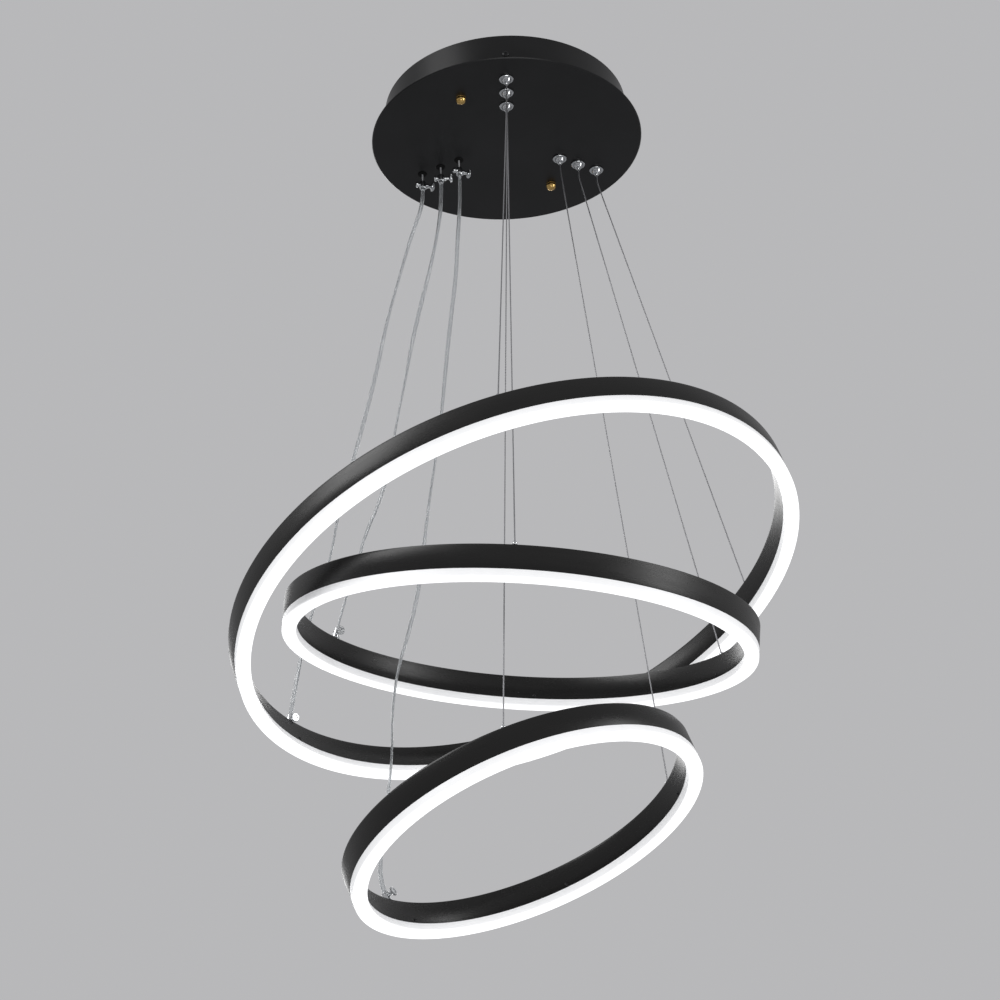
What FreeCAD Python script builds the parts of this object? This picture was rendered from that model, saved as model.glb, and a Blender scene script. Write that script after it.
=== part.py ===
import FreeCAD, Part
import math
import os
import re
import Sketcher

# LED ring chandelier: three tilted light hoops hang on wires and power cords from a round canopy.
# Millimetres. The origin is the centre of the ceiling face, +Z points up into the ceiling, and the
# three lines of fittings run from the canopy's rim towards its centre at -90, 30 and 150 degrees.

SIZES = {
    # rings, outer radius
    "radius_large": 250.0,
    "radius_middle": 200.0,
    "radius_small": 150.0,
    # ring centres: to the left of, in front of and below the canopy's centre
    "large_left": 8.0,
    "large_near": 13.0,
    "large_drop": 522.0,
    "middle_left": 9.5,
    "middle_near": 19.5,
    "middle_drop": 568.0,
    "small_left": 12.5,
    "small_near": 52.5,
    "small_drop": 758.0,
    # canopy
    "canopy_height": 36.0,
    "plate_radius": 125.0,
    "plate_thick": 1.5,
    "drum_radius": 112.0,
    "drum_wall": 1.0,
    "ceiling_gap": 0.5,
    "seat_gap": 0.2,
    "fit_gap": 0.05,
    # ceiling bracket, its studs and the cap nuts
    "strap_length": 185.0,
    "strap_width": 25.0,
    "strap_thick": 2.0,
    "ceiling_screw_circle": 35.0,
    "ceiling_screw_radius": 2.5,
    "wire_hole_place": 14.0,
    "wire_hole_radius": 6.0,
    "earth_place": 14.0,
    "earth_radius": 2.0,
    "stud_circle": 80.5,
    "stud_radius": 2.0,
    "strap_turn": 59.0,
    "stud_reach": 4.0,
    "nut_radius": 4.5,
    "nut_height": 6.0,
    # drum brackets and side screws
    "bracket_width": 16.0,
    "bracket_foot": 6.0,
    "bracket_height": 18.0,
    "bracket_thick": 1.2,
    "side_screw_height": 14.5,
    "side_screw_radius": 1.5,
    "side_screw_head": 2.8,
    "side_screw_head_thick": 1.6,
    "side_screw_length": 5.0,
    # drivers and terminal block
    "driver_inset": 42.0,
    "driver_length": 70.0,
    "driver_width": 32.0,
    "driver_height": 20.0,
    "block_length": 34.0,
    "block_width": 18.0,
    "block_height": 14.0,
    "pole_pitch": 10.0,
    "pole_radius": 2.6,
    "pole_depth": 3.0,
    "lead_radius": 1.4,
    "lead_lift": 0.5,
    # lines of fittings under the canopy: from the drum's radius in to the first one, then the pitch
    "near_inset": 17.0,
    "right_inset": 15.0,
    "left_inset": 20.0,
    "line_pitch": 20.0,
    "shank_radius": 5.0,
    "shank_height": 13.0,
    "lock_nut_flat": 13.0,
    "lock_nut_height": 3.0,
    "flange_radius": 6.5,
    "flange_thick": 1.6,
    "cone_height": 2.8,
    "cone_radius": 3.2,
    "cone_flare": 1.4,
    "wire_bore_radius": 0.9,
    "plunger_radius": 1.8,
    "plunger_reach": 2.6,
    "plunger_edge": 0.5,
    "plunger_seat": 4.0,
    "plunger_stroke": 2.0,
    "bush_radius": 4.2,
    "bush_thick": 1.0,
    "bush_neck_radius": 3.2,
    "bush_nut_flat": 10.0,
    # cord clamps under the canopy and cord grips on the rings
    "stem_radius": 0.8,
    "clamp_drop": 13.0,
    "clamp_radius": 3.2,
    "clamp_height": 8.0,
    "boss_radius": 2.7,
    "boss_reach": 6.6,
    "hand_shank_radius": 1.4,
    "hand_head_radius": 3.9,
    "hand_head_thick": 3.0,
    "hand_head_edge": 0.5,
    "hand_head_dimple": 1.6,
    "clamp_screw_reach": 10.8,
    "grip_base_radius": 4.2,
    "grip_base_thick": 2.6,
    "grip_ball_lift": 3.2,
    "grip_radius": 3.0,
    "grip_height": 7.5,
    "grip_screw_drop": 3.4,
    "grip_screw_reach": 9.0,
    # wires and cords
    "wire_radius": 0.6,
    "wire_ease": 8.0,
    "wire_tail": 4.0,
    "cord_radius": 1.6,
    "cord_bore_gap": 0.4,
    "cord_entry": 3.0,
    # ring section
    "channel_width": 12.0,
    "channel_height": 20.0,
    "channel_wall": 1.2,
    "channel_web": 2.0,
    "diffuser_drop": 8.0,
    "diffuser_floor": 2.0,
    "diffuser_wall": 1.5,
    "diffuser_tongue": 6.0,
    "diffuser_edge": 0.8,
    "slide_gap": 0.15,
    "strip_width": 8.0,
    "strip_thick": 1.2,
    "strip_opening": 4.0,
    "edge_screw_height": 2.5,
    "edge_screw_radius": 0.8,
    "edge_screw_head": 1.5,
    "edge_screw_head_thick": 0.7,
    "ball_radius": 2.2,
    "ball_post_radius": 1.5,
    "ball_lift": 2.6,
    "ball_thread_radius": 1.2,
}

# Each ring: its place in the lines of fittings, counted from the rim inwards, how far its axis leans
# and towards which side, and how far its small screws turn about that axis.
RINGS = {
    "large": {"place": 0, "lean": 17.4, "towards": 156.3, "screw_turn": -1.2},
    "middle": {"place": 1, "lean": 13.1, "towards": -63.6, "screw_turn": -3.5},
    "small": {"place": 2, "lean": 19.0, "towards": 175.0, "screw_turn": -15.0},
}

# Where the three lines of fittings point, seen from below with the viewer at -90 degrees.
LINES = {"near": -90.0, "right": 30.0, "left": 150.0}

# How far each ring's own fittings sit round the ring from those directions.
LUG_TURNS = {
    "large": {"near": -1.1, "right": -2.3, "left": -1.5},
    "middle": {"near": -1.5, "right": -2.9, "left": -2.5},
    "small": {"near": -3.7, "right": -8.2, "left": -7.8},
}

# Which way each hand screw points, how far each grip on a ring leans over towards its cord, and how
# far the cord runs straight above the grip.
CLAMP_TURN = {"large": 20.0, "middle": 0.0, "small": 28.0}
GRIPS = {
    "large": {"lean": 11.1, "towards": -23.8, "screw_turn": -49.0, "straight": 34.0},
    "middle": {"lean": 14.7, "towards": -16.4, "screw_turn": -60.0, "straight": 26.0},
    "small": {"lean": 19.0, "towards": 175.0, "screw_turn": -35.0, "straight": 12.0},
}

# Power cord routes from under the clamp down to the grip on the ring. The first point, straight below
# the clamp, gives only its height here, and the last two come from the grip.
CORD_ROUTES = {
    "large": [(-80, 46, -70), (-92, 52, -102), (-105, 59, -146), (-117, 65, -188), (-126, 69, -232),
              (-137, 75, -276), (-151, 82, -326), (-166, 90, -378), (-172, 93, -416),
              (-186, 100, -456), (-198, 106, -494)],
    "middle": [(-62, 36, -74), (-67, 38, -108), (-75, 41, -146), (-85, 45, -184), (-94, 48, -222),
               (-102, 51, -266), (-111, 54, -308), (-118, 57, -350), (-127, 60, -382),
               (-141, 66, -412), (-149, 69, -444)],
    "small": [(-45, 26, -80), (-49, 26, -124), (-52, 27, -168), (-58, 27, -212), (-64, 28, -262),
              (-69, 29, -310), (-76, 30, -358), (-83, 30, -402), (-89, 31, -448), (-95, 32, -492),
              (-104, 33, -530), (-115, 34, -566), (-120, 35, -606), (-121, 35, -650),
              (-127, 36, -694), (-132, 36, -730)],
}

os.makedirs("parts", exist_ok=True)
doc = FreeCAD.newDocument("ring_chandelier")
sheet = doc.addObject("Spreadsheet::Sheet", "Sizes")

for row, (alias, number) in enumerate(SIZES.items(), 1):
    sheet.set("A%d" % row, alias)
    sheet.set("B%d" % row, str(number))
    sheet.setAlias("B%d" % row, alias)
doc.recompute()

UP = FreeCAD.Vector(0, 0, 1)
nodes = []


# ---- helpers -----------------------------------------------------------------------------------

def size(alias):
    """The number in a cell of the sheet."""
    return float(sheet.get(alias))


def bound(text):
    """An expression in which every size name points to its cell."""
    return re.sub(r"[a-z][a-z_]*", lambda word: "Sizes." + word.group() if word.group() in SIZES
                  else word.group(), text)


def bind(thing, bindings):
    """Bind properties of an object to expressions in size names."""
    for path, text in bindings.items():
        thing.setExpression(path, bound(text))


def place(thing, x=0.0, y=0.0, z=0.0, turn=0.0):
    """Put a piece at a point of the lamp's frame, turned about Z."""
    thing.Placement = FreeCAD.Placement(FreeCAD.Vector(x, y, z), FreeCAD.Rotation(UP, turn))


def keep(thing):
    """Mark an object as a piece of the lamp, which gets a file of its own."""
    nodes.append(thing)
    return thing


def new_body(label):
    body = doc.addObject("PartDesign::Body", label)
    body.Label = label
    return body


def origin_feature(body, role):
    return next(feature for feature in body.Origin.OriginFeatures if feature.Role == role)


def new_sketch(body, role, name):
    sketch = body.newObject("Sketcher::SketchObject", name)
    sketch.AttachmentSupport = [(origin_feature(body, role), "")]
    sketch.MapMode = "FlatFace"
    return sketch


def constrain(sketch, constraint, text):
    number = sketch.addConstraint(constraint)
    sketch.setExpression("Constraints[%d]" % number, bound(text))


def add_outline(sketch, corners):
    """A closed outline of straight sides, each corner measured from the origin."""
    count = len(corners)
    first = sketch.GeometryCount
    start = [FreeCAD.Vector(100 + 10 * math.cos(2 * math.pi * k / count),
                            10 * math.sin(2 * math.pi * k / count), 0) for k in range(count)]
    for k in range(count):
        sketch.addGeometry(Part.LineSegment(start[k], start[(k + 1) % count]))
    for k in range(count):
        following = first + (k + 1) % count
        sketch.addConstraint(Sketcher.Constraint("Coincident", first + k, 2, following, 1))
    for k, (across, along) in enumerate(corners):
        constrain(sketch, Sketcher.Constraint("DistanceX", -1, 1, first + k, 1, 1.0), across)
        constrain(sketch, Sketcher.Constraint("DistanceY", -1, 1, first + k, 1, 1.0), along)


def add_circle(sketch, across, along, radius):
    number = sketch.addGeometry(Part.Circle(FreeCAD.Vector(5, 5, 0), UP, 1))
    constrain(sketch, Sketcher.Constraint("DistanceX", -1, 1, number, 3, 1.0), across)
    constrain(sketch, Sketcher.Constraint("DistanceY", -1, 1, number, 3, 1.0), along)
    constrain(sketch, Sketcher.Constraint("Radius", number, 1.0), radius)


def revolve(body, sketch, axis="V_Axis", angle="360"):
    feature = body.newObject("PartDesign::Revolution", sketch.Name + "_turned")
    feature.Profile = sketch
    feature.ReferenceAxis = (sketch, [axis])
    bind(feature, {"Angle": angle})
    body.Tip = feature
    doc.recompute()
    return feature


def turned(label, corners, angle="360"):
    """A body turned about its own Z from an outline of (radius, height) corners."""
    body = new_body(label)
    sketch = new_sketch(body, "XZ_Plane", label + "_outline")
    add_outline(sketch, corners)
    revolve(body, sketch, "V_Axis", angle)
    return body


def pad(body, sketch, length, symmetric=False):
    feature = body.newObject("PartDesign::Pad", sketch.Name + "_pad")
    feature.Profile = sketch
    bind(feature, {"Length": length})
    feature.SideType = "Symmetric" if symmetric else "One side"
    body.Tip = feature
    doc.recompute()
    return feature


def pocket(body, sketch, depth, reverse=False, symmetric=False):
    """Cut a pocket, and stop if it took nothing away."""
    before = body.Shape.Volume
    feature = body.newObject("PartDesign::Pocket", sketch.Name + "_cut")
    feature.Profile = sketch
    bind(feature, {"Length": depth})
    feature.SideType = "Symmetric" if symmetric else "One side"
    feature.Reversed = reverse
    body.Tip = feature
    doc.recompute()
    if body.Shape.Volume > before - 0.01:
        raise ValueError(feature.Name + " cuts nothing")
    return feature


def repeat_around(body, features, count, angle=360.0):
    feature = body.newObject("PartDesign::PolarPattern", features[0].Name + "_around")
    feature.Originals = features
    feature.Axis = (origin_feature(body, "Z_Axis"), [""])
    feature.Angle = angle
    feature.Occurrences = count
    body.Tip = feature
    doc.recompute()
    return feature


def half_turn(before, corner, after):
    """Half the angle by which a route turns at a corner."""
    return (math.pi - (before - corner).getAngle(after - corner)) / 2


def tube(points, radius, bends):
    """A round tube along straight runs that tangent arcs join, one radius for each inner point."""
    edges = []
    last = points[0]
    for before, corner, after, bend in zip(points, points[1:], points[2:], bends):
        back = (before - corner).normalize()
        ahead = (after - corner).normalize()
        half = half_turn(before, corner, after)
        reach = bend * math.tan(half)
        middle = (back + ahead).normalize()
        centre = corner + middle * (bend / math.cos(half))
        start = corner + back * reach
        end = corner + ahead * reach
        edges.append(Part.LineSegment(last, start).toShape())
        edges.append(Part.Arc(start, centre - middle * bend, end).toShape())
        last = end
    edges.append(Part.LineSegment(last, points[-1]).toShape())
    path = Part.Wire(edges)
    section = Part.Wire(Part.makeCircle(radius, points[0], points[1] - points[0]))
    solid = path.makePipeShell([section], True, True)
    return solid, path.Length


def free_bends(points):
    """The widest arc that each corner's two runs allow."""
    bends = []
    for before, corner, after in zip(points, points[1:], points[2:]):
        shorter = min((before - corner).Length, (after - corner).Length)
        bends.append(0.45 * shorter / math.tan(half_turn(before, corner, after)))
    return bends


def add_tube(label, routes, radius, bends_of=free_bends):
    """A piece of one or more tubes. Prints its bend radii, and its volume over section times length."""
    solids = []
    for route in routes:
        points = [FreeCAD.Vector(*point) for point in route]
        bends = bends_of(points)
        solid, length = tube(points, radius, bends)
        solids.append(solid)
        ratio = solid.Volume / (math.pi * radius ** 2 * length)
        print("%-20s length %7.1f  volume ratio %.4f  bends %s"
              % (label, length, ratio, " ".join("%.0f" % bend for bend in bends)))
    thing = doc.addObject("Part::Feature", label)
    thing.Shape = solids[0] if len(solids) == 1 else Part.makeCompound(solids)
    return keep(thing)


def on_circle(radius, degrees, height=0.0):
    angle = math.radians(degrees)
    return FreeCAD.Vector(radius * math.cos(angle), radius * math.sin(angle), height)


def line_spot(line, place_in_line):
    """How far from the canopy's centre one fitting of a line sits, as an expression."""
    return "drum_radius - %s_inset - %d * line_pitch" % (line, place_in_line)


def under_canopy(ring_name, line, drop=0.0):
    """The point of a ring's fitting in a line, at a depth below the face plate."""
    radius = (size("drum_radius") - size(line + "_inset")
              - RINGS[ring_name]["place"] * size("line_pitch"))
    return on_circle(radius, LINES[line], -size("canopy_height") - drop)


def leaned(lean, towards, turn):
    """A turn about Z, then a lean towards a side."""
    return FreeCAD.Rotation(on_circle(1.0, towards + 90.0), lean) * FreeCAD.Rotation(UP, turn)


def ring_frame(ring_name, turn=0.0):
    """From a ring's own frame to the lamp's: turn about its axis, lean, then move to its centre."""
    centre = FreeCAD.Vector(-size(ring_name + "_left"), -size(ring_name + "_near"),
                            -size(ring_name + "_drop"))
    ring = RINGS[ring_name]
    return FreeCAD.Placement(centre, leaned(ring["lean"], ring["towards"], turn))


def lug_turn(ring_name, line):
    """Where round the ring a line's fitting sits."""
    return LINES[line] + LUG_TURNS[ring_name][line]


def on_ring(ring_name, line, height):
    """The point of a line's fitting in the ring's own frame."""
    middle_radius = size("radius_" + ring_name) - size("channel_width") / 2
    return on_circle(middle_radius, lug_turn(ring_name, line), height)


# ---- canopy ------------------------------------------------------------------------------------

def make_ceiling_bracket():
    """Strap against the ceiling with two screw holes, a wire hole, an earth hole and stud holes."""
    body = new_body("ceiling_bracket")
    strap = new_sketch(body, "XY_Plane", "strap")
    half_long, half_wide = "strap_length / 2", "strap_width / 2"
    add_outline(strap, [("-" + half_long, "-" + half_wide), (half_long, "-" + half_wide),
                        (half_long, half_wide), ("-" + half_long, half_wide)])
    add_circle(strap, "-wire_hole_place", "0", "wire_hole_radius")
    add_circle(strap, "earth_place", "0", "earth_radius + fit_gap")
    for side in ("", "-"):
        add_circle(strap, side + "ceiling_screw_circle", "0", "ceiling_screw_radius")
        add_circle(strap, side + "stud_circle", "0", "stud_radius + fit_gap")
    pad(body, strap, "strap_thick")
    place(body, z=-size("strap_thick"), turn=size("strap_turn"))
    return keep(body)


def make_bracket_studs():
    """Two threaded studs from the strap, through the plate, into the cap nuts."""
    body = new_body("bracket_studs")
    rod = new_sketch(body, "XY_Plane", "stud")
    add_circle(rod, "stud_circle", "0", "stud_radius")
    stud = pad(body, rod, "canopy_height + stud_reach")
    repeat_around(body, [stud], 2)
    place(body, z=-size("canopy_height") - size("stud_reach"), turn=size("strap_turn"))
    return keep(body)


def make_earth_screw():
    """Screw from below into the strap, for the earth lead."""
    head = "2 * earth_radius"
    body = turned("earth_screw", [
        ("0", "-1.5 * earth_radius"), ("0.6 * earth_radius", "-1.5 * earth_radius"),
        (head, "-earth_radius"), (head, "0"), ("earth_radius", "0"),
        ("earth_radius", "strap_thick"), ("0", "strap_thick")])
    spot = on_circle(size("earth_place"), size("strap_turn"), -size("strap_thick"))
    place(body, *spot)
    return keep(body)


def make_canopy_drum():
    """Wall between the ceiling and the face plate, with three side screw holes."""
    inner = "drum_radius - drum_wall"
    tall = "canopy_height - plate_thick - ceiling_gap"
    body = turned("canopy_drum", [(inner, "0"), ("drum_radius", "0"), ("drum_radius", tall),
                                  (inner, tall)])
    hole = new_sketch(body, "XZ_Plane", "side_hole")
    add_circle(hole, "0", "side_screw_height - plate_thick", "side_screw_radius + fit_gap")
    cut = pocket(body, hole, "drum_radius + 1", reverse=True)
    repeat_around(body, [cut], 3)
    place(body, z=size("plate_thick") - size("canopy_height"))
    return keep(body)


def make_canopy_plate():
    """Round face plate with nine fitting holes and two stud holes."""
    body = turned("canopy_plate", [("0", "0"), ("plate_radius - plate_thick / 2", "0"),
                                   ("plate_radius", "plate_thick / 2"),
                                   ("plate_radius", "plate_thick"), ("0", "plate_thick")])
    fittings = new_sketch(body, "XY_Plane", "fitting_holes")
    for line, degrees in LINES.items():
        hole = "bush_neck_radius + fit_gap" if line == "left" else "shank_radius + fit_gap"
        for number in range(3):
            spot = line_spot(line, number)
            add_circle(fittings, "(%s) * cos(%d deg)" % (spot, degrees),
                       "(%s) * sin(%d deg)" % (spot, degrees), hole)
    pocket(body, fittings, "4 * plate_thick", symmetric=True)
    studs = new_sketch(body, "XY_Plane", "stud_holes")
    for side in ("", "-"):
        add_circle(studs, side + "stud_circle * cos(strap_turn * 1 deg)",
                   side + "stud_circle * sin(strap_turn * 1 deg)", "stud_radius + seat_gap")
    pocket(body, studs, "4 * plate_thick", symmetric=True)
    place(body, z=-size("canopy_height"))
    return keep(body)


def make_drum_brackets():
    """Three angle brackets: a foot on the plate and a leaf against the drum wall."""
    body = new_body("drum_brackets")
    angle = new_sketch(body, "YZ_Plane", "angle")
    face = "-sqrt((drum_radius - drum_wall)^2 - (bracket_width / 2)^2) + seat_gap"
    back = face + " + bracket_thick"
    toe = face + " + bracket_foot"
    add_outline(angle, [(face, "0"), (toe, "0"), (toe, "bracket_thick"),
                        (back, "bracket_thick"), (back, "bracket_height"),
                        (face, "bracket_height")])
    leaf = pad(body, angle, "bracket_width", symmetric=True)
    hole = new_sketch(body, "XZ_Plane", "bracket_hole")
    add_circle(hole, "0", "side_screw_height - plate_thick", "side_screw_radius + fit_gap")
    cut = pocket(body, hole, "drum_radius", reverse=True)
    repeat_around(body, [leaf, cut], 3)
    place(body, z=size("plate_thick") - size("canopy_height"))
    return keep(body)


def make_drum_screws():
    """Three pan head screws through the drum's side into the brackets."""
    body = new_body("drum_screws")
    profile = new_sketch(body, "YZ_Plane", "side_screw")
    seat = "-drum_radius"
    add_outline(profile, [(seat + " - side_screw_head_thick", "0"),
                          (seat + " - side_screw_head_thick", "0.6 * side_screw_head"),
                          (seat + " - 0.4 * side_screw_head_thick", "side_screw_head"),
                          (seat, "side_screw_head"), (seat, "side_screw_radius"),
                          (seat + " + side_screw_length", "side_screw_radius"),
                          (seat + " + side_screw_length", "0")])
    screw = revolve(body, profile, "H_Axis")
    repeat_around(body, [screw], 3)
    place(body, z=size("side_screw_height") - size("canopy_height"))
    return keep(body)


def make_cover_nut(number):
    """Domed cap nut under the plate, on one of the bracket's studs."""
    bore = "stud_radius + fit_gap"
    body = turned("cover_nut_%d" % number, [
        (bore, "0"), ("nut_radius", "0"), ("nut_radius", "-0.55 * nut_height"),
        ("0.8 * nut_radius", "-0.85 * nut_height"), ("0.45 * nut_radius", "-nut_height"),
        ("0", "-nut_height"), ("0", "-stud_reach - fit_gap"), (bore, "-stud_reach - fit_gap")])
    spot = on_circle(size("stud_circle"), size("strap_turn") + 180 * number,
                     -size("canopy_height") - size("fit_gap"))
    place(body, *spot)
    return keep(body)


def make_led_drivers():
    """Three driver boxes on the plate, between the lines of fittings."""
    body = new_body("led_drivers")
    box = new_sketch(body, "XY_Plane", "driver")
    inner = "drum_radius - driver_inset - driver_width / 2"
    outer = "drum_radius - driver_inset + driver_width / 2"
    half = "driver_length / 2"
    add_outline(box, [(inner, "-" + half), (outer, "-" + half), (outer, half), (inner, half)])
    driver = pad(body, box, "driver_height")
    repeat_around(body, [driver], 3)
    place(body, z=size("plate_thick") - size("canopy_height"), turn=-30.0)
    return keep(body)


def make_terminal_block():
    body = new_body("terminal_block")
    box = new_sketch(body, "XY_Plane", "block")
    long, wide = "block_length / 2", "block_width / 2"
    add_outline(box, [("-" + long, "-" + wide), (long, "-" + wide), (long, wide),
                      ("-" + long, wide)])
    pad(body, box, "block_height")
    poles = new_sketch(body, "XY_Plane", "poles")
    poles.AttachmentOffset = FreeCAD.Placement(FreeCAD.Vector(0, 0, size("block_height")),
                                               FreeCAD.Rotation())
    bind(poles, {"AttachmentOffset.Base.z": "block_height"})
    for number in (-1, 0, 1):
        add_circle(poles, "%d * pole_pitch" % number, "-block_width / 4", "pole_radius")
        add_circle(poles, "%d * pole_pitch" % number, "block_width / 4", "pole_radius")
    pocket(body, poles, "pole_depth")
    place(body, z=size("plate_thick") - size("canopy_height"))
    return keep(body)


def make_internal_leads():
    """Mains leads from the block to the drivers, and outputs from the drivers to the cord bushes."""
    floor = size("plate_thick") - size("canopy_height")
    pole_top = floor + size("block_height") - size("pole_depth")
    driver_top = floor + size("driver_height")
    driver_circle = size("drum_radius") - size("driver_inset")
    driver_inside = driver_circle - size("driver_width") / 2
    rise = 6 * size("lead_radius")
    routes = []
    for number, degrees in ((1, -30.0), (0, 90.0), (-1, 210.0)):
        side = 1 if degrees == 90.0 else -1
        pole = FreeCAD.Vector(number * size("pole_pitch"), side * size("block_width") / 4, pole_top)
        level = pole_top + size("pole_depth") + rise
        entry = driver_top - rise + size("lead_lift")
        edge = on_circle(driver_inside, degrees, entry)
        short = on_circle(driver_inside - rise, degrees, entry)
        routes.append([pole, pole + UP * (level - pole_top), short, edge])
    for ring_name, degrees in (("small", -30.0), ("middle", 90.0), ("large", 210.0)):
        bush = under_canopy(ring_name, "left", -size("shank_height"))
        level = driver_top + rise
        driver = on_circle(driver_circle, degrees, driver_top)
        routes.append([bush, bush + UP * (level - bush.z), driver + UP * rise, driver])
    return add_tube("internal_leads", routes, size("lead_radius"), small_bends)


def small_bends(points):
    return [2.5 * size("lead_radius")] * (len(points) - 2)


# ---- fittings under the canopy ------------------------------------------------------------------

def make_gripper_bodies(line):
    """Three wire grippers of one line: shank and flange, cone below, bore for the plunger."""
    body = new_body("gripper_bodies_" + line)
    for number in range(3):
        middle = line_spot(line, number)
        disc = new_sketch(body, "XY_Plane", "flange_%s_%d" % (line, number))
        add_circle(disc, middle, "0", "flange_radius")
        flange = pad(body, disc, "flange_thick")
        flange.Reversed = True
        neck = new_sketch(body, "XY_Plane", "shank_%s_%d" % (line, number))
        add_circle(neck, middle, "0", "shank_radius")
        pad(body, neck, "shank_height")
        tip = new_sketch(body, "XY_Plane", "cone_%s_%d" % (line, number))
        tip.AttachmentOffset = FreeCAD.Placement(FreeCAD.Vector(0, 0, -size("flange_thick")),
                                                 FreeCAD.Rotation())
        bind(tip, {"AttachmentOffset.Base.z": "-flange_thick"})
        add_circle(tip, middle, "0", "cone_radius + cone_flare")
        cone = pad(body, tip, "cone_height")
        cone.Reversed = True
        bind(cone, {"TaperAngle": "-atan(cone_flare / cone_height)"})
        doc.recompute()
        bore = new_sketch(body, "XY_Plane", "wire_bore_%s_%d" % (line, number))
        add_circle(bore, middle, "0", "wire_bore_radius")
        pocket(body, bore, "4 * shank_height", symmetric=True)
        seat = new_sketch(body, "XY_Plane", "seat_%s_%d" % (line, number))
        seat.AttachmentOffset = FreeCAD.Placement(FreeCAD.Vector(0, 0, size("plunger_seat")),
                                                  FreeCAD.Rotation())
        bind(seat, {"AttachmentOffset.Base.z": "plunger_seat"})
        add_circle(seat, middle, "0", "plunger_radius + fit_gap")
        pocket(body, seat, "plunger_seat + flange_thick + cone_height + 1")
    place(body, z=-size("canopy_height"), turn=LINES[line])
    return keep(body)


def make_plunger(ring_name, line):
    """Release plunger round the wire, pushed up into its gripper to free the wire."""
    low = "-(flange_thick + cone_height + plunger_reach)"
    high = "plunger_seat - plunger_stroke - fit_gap"
    bore = "wire_bore_radius"
    body = turned("plunger_%s_%s" % (ring_name, line), [
        (bore, low), ("plunger_radius - plunger_edge", low),
        ("plunger_radius", low + " + plunger_edge"),
        ("plunger_radius", high), (bore, high)])
    place(body, *under_canopy(ring_name, line))
    return keep(body)


def make_lock_nuts():
    """Nine hexagon nuts inside the canopy, on the shanks of the fittings."""
    body = new_body("gripper_nuts")
    sketch = new_sketch(body, "XY_Plane", "lock_nuts")
    for line, degrees in LINES.items():
        flat = "bush_nut_flat" if line == "left" else "lock_nut_flat"
        neck = "bush_neck_radius" if line == "left" else "shank_radius"
        corner_radius = flat + " / 2 / cos(30 deg)"
        for number in range(3):
            across = "(%s) * cos(%d deg)" % (line_spot(line, number), degrees)
            along = "(%s) * sin(%d deg)" % (line_spot(line, number), degrees)
            add_outline(sketch, [("%s + %s * cos(%d deg)" % (across, corner_radius, turn),
                                  "%s + %s * sin(%d deg)" % (along, corner_radius, turn))
                                 for turn in range(0, 360, 60)])
            add_circle(sketch, across, along, neck + " + fit_gap")
    pad(body, sketch, "lock_nut_height")
    place(body, z=size("plate_thick") - size("canopy_height"))
    return keep(body)


def make_cord_bushes():
    """Three bushes in the plate that the cores of the power cords come out of."""
    body = new_body("cord_bushes")
    for number in range(3):
        middle = line_spot("left", number)
        rim = new_sketch(body, "XY_Plane", "bush_rim_%d" % number)
        add_circle(rim, middle, "0", "bush_radius")
        flange = pad(body, rim, "bush_thick")
        flange.Reversed = True
        neck = new_sketch(body, "XY_Plane", "bush_neck_%d" % number)
        add_circle(neck, middle, "0", "bush_neck_radius")
        pad(body, neck, "shank_height")
        bore = new_sketch(body, "XY_Plane", "bush_bore_%d" % number)
        add_circle(bore, middle, "0", "stem_radius + fit_gap")
        pocket(body, bore, "4 * shank_height", symmetric=True)
    place(body, z=-size("canopy_height"), turn=LINES["left"])
    return keep(body)


def make_cord_stems():
    """Bare core of each power cord, from inside its bush down through its clamp."""
    body = new_body("cord_stems")
    sketch = new_sketch(body, "XY_Plane", "stems")
    for number in range(3):
        add_circle(sketch, line_spot("left", number), "0", "stem_radius")
    pad(body, sketch, "shank_height + clamp_drop + clamp_height / 2")
    drop = size("clamp_drop") + size("clamp_height") / 2
    place(body, z=-size("canopy_height") - drop, turn=LINES["left"])
    return keep(body)


def make_cord_clamp(ring_name):
    """Cross clamp on a power cord: upright hub, boss to one side, screw hole to the other."""
    body = new_body("cord_clamp_" + ring_name)
    hub = new_sketch(body, "XY_Plane", "clamp_hub_" + ring_name)
    add_circle(hub, "0", "0", "clamp_radius")
    pad(body, hub, "clamp_height", symmetric=True)
    boss = new_sketch(body, "YZ_Plane", "clamp_boss_" + ring_name)
    add_circle(boss, "0", "0", "boss_radius")
    arm = pad(body, boss, "boss_reach")
    arm.Reversed = True
    nose = new_sketch(body, "YZ_Plane", "clamp_nose_" + ring_name)
    add_circle(nose, "0", "0", "boss_radius")
    pad(body, nose, "0.75 * boss_reach")
    bore = new_sketch(body, "XY_Plane", "clamp_bore_" + ring_name)
    add_circle(bore, "0", "0", "stem_radius + fit_gap")
    pocket(body, bore, "2 * clamp_height", symmetric=True)
    thread = new_sketch(body, "YZ_Plane", "clamp_thread_" + ring_name)
    add_circle(thread, "0", "0", "hand_shank_radius + fit_gap")
    pocket(body, thread, "boss_reach", reverse=True)
    spot = under_canopy(ring_name, "left", size("clamp_drop"))
    place(body, *spot, turn=CLAMP_TURN[ring_name])
    return keep(body)


def make_hand_screw(label, tip, reach):
    """Knurled hand screw along its own X: shank from tip outwards, round head that ends at reach."""
    body = new_body(label)
    profile = new_sketch(body, "XZ_Plane", label + "_outline")
    head = "%s - hand_head_thick" % reach
    edge = "hand_head_edge"
    add_outline(profile, [
        (tip, "0"), (reach + " - " + edge, "0"), (reach + " - " + edge, "hand_head_dimple"),
        (reach, "hand_head_dimple + " + edge), (reach, "hand_head_radius - " + edge),
        (reach + " - " + edge, "hand_head_radius"), (head + " + " + edge, "hand_head_radius"),
        (head, "hand_head_radius - " + edge), (head, "hand_shank_radius"),
        (tip, "hand_shank_radius")])
    revolve(body, profile, "H_Axis")
    return keep(body)


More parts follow.
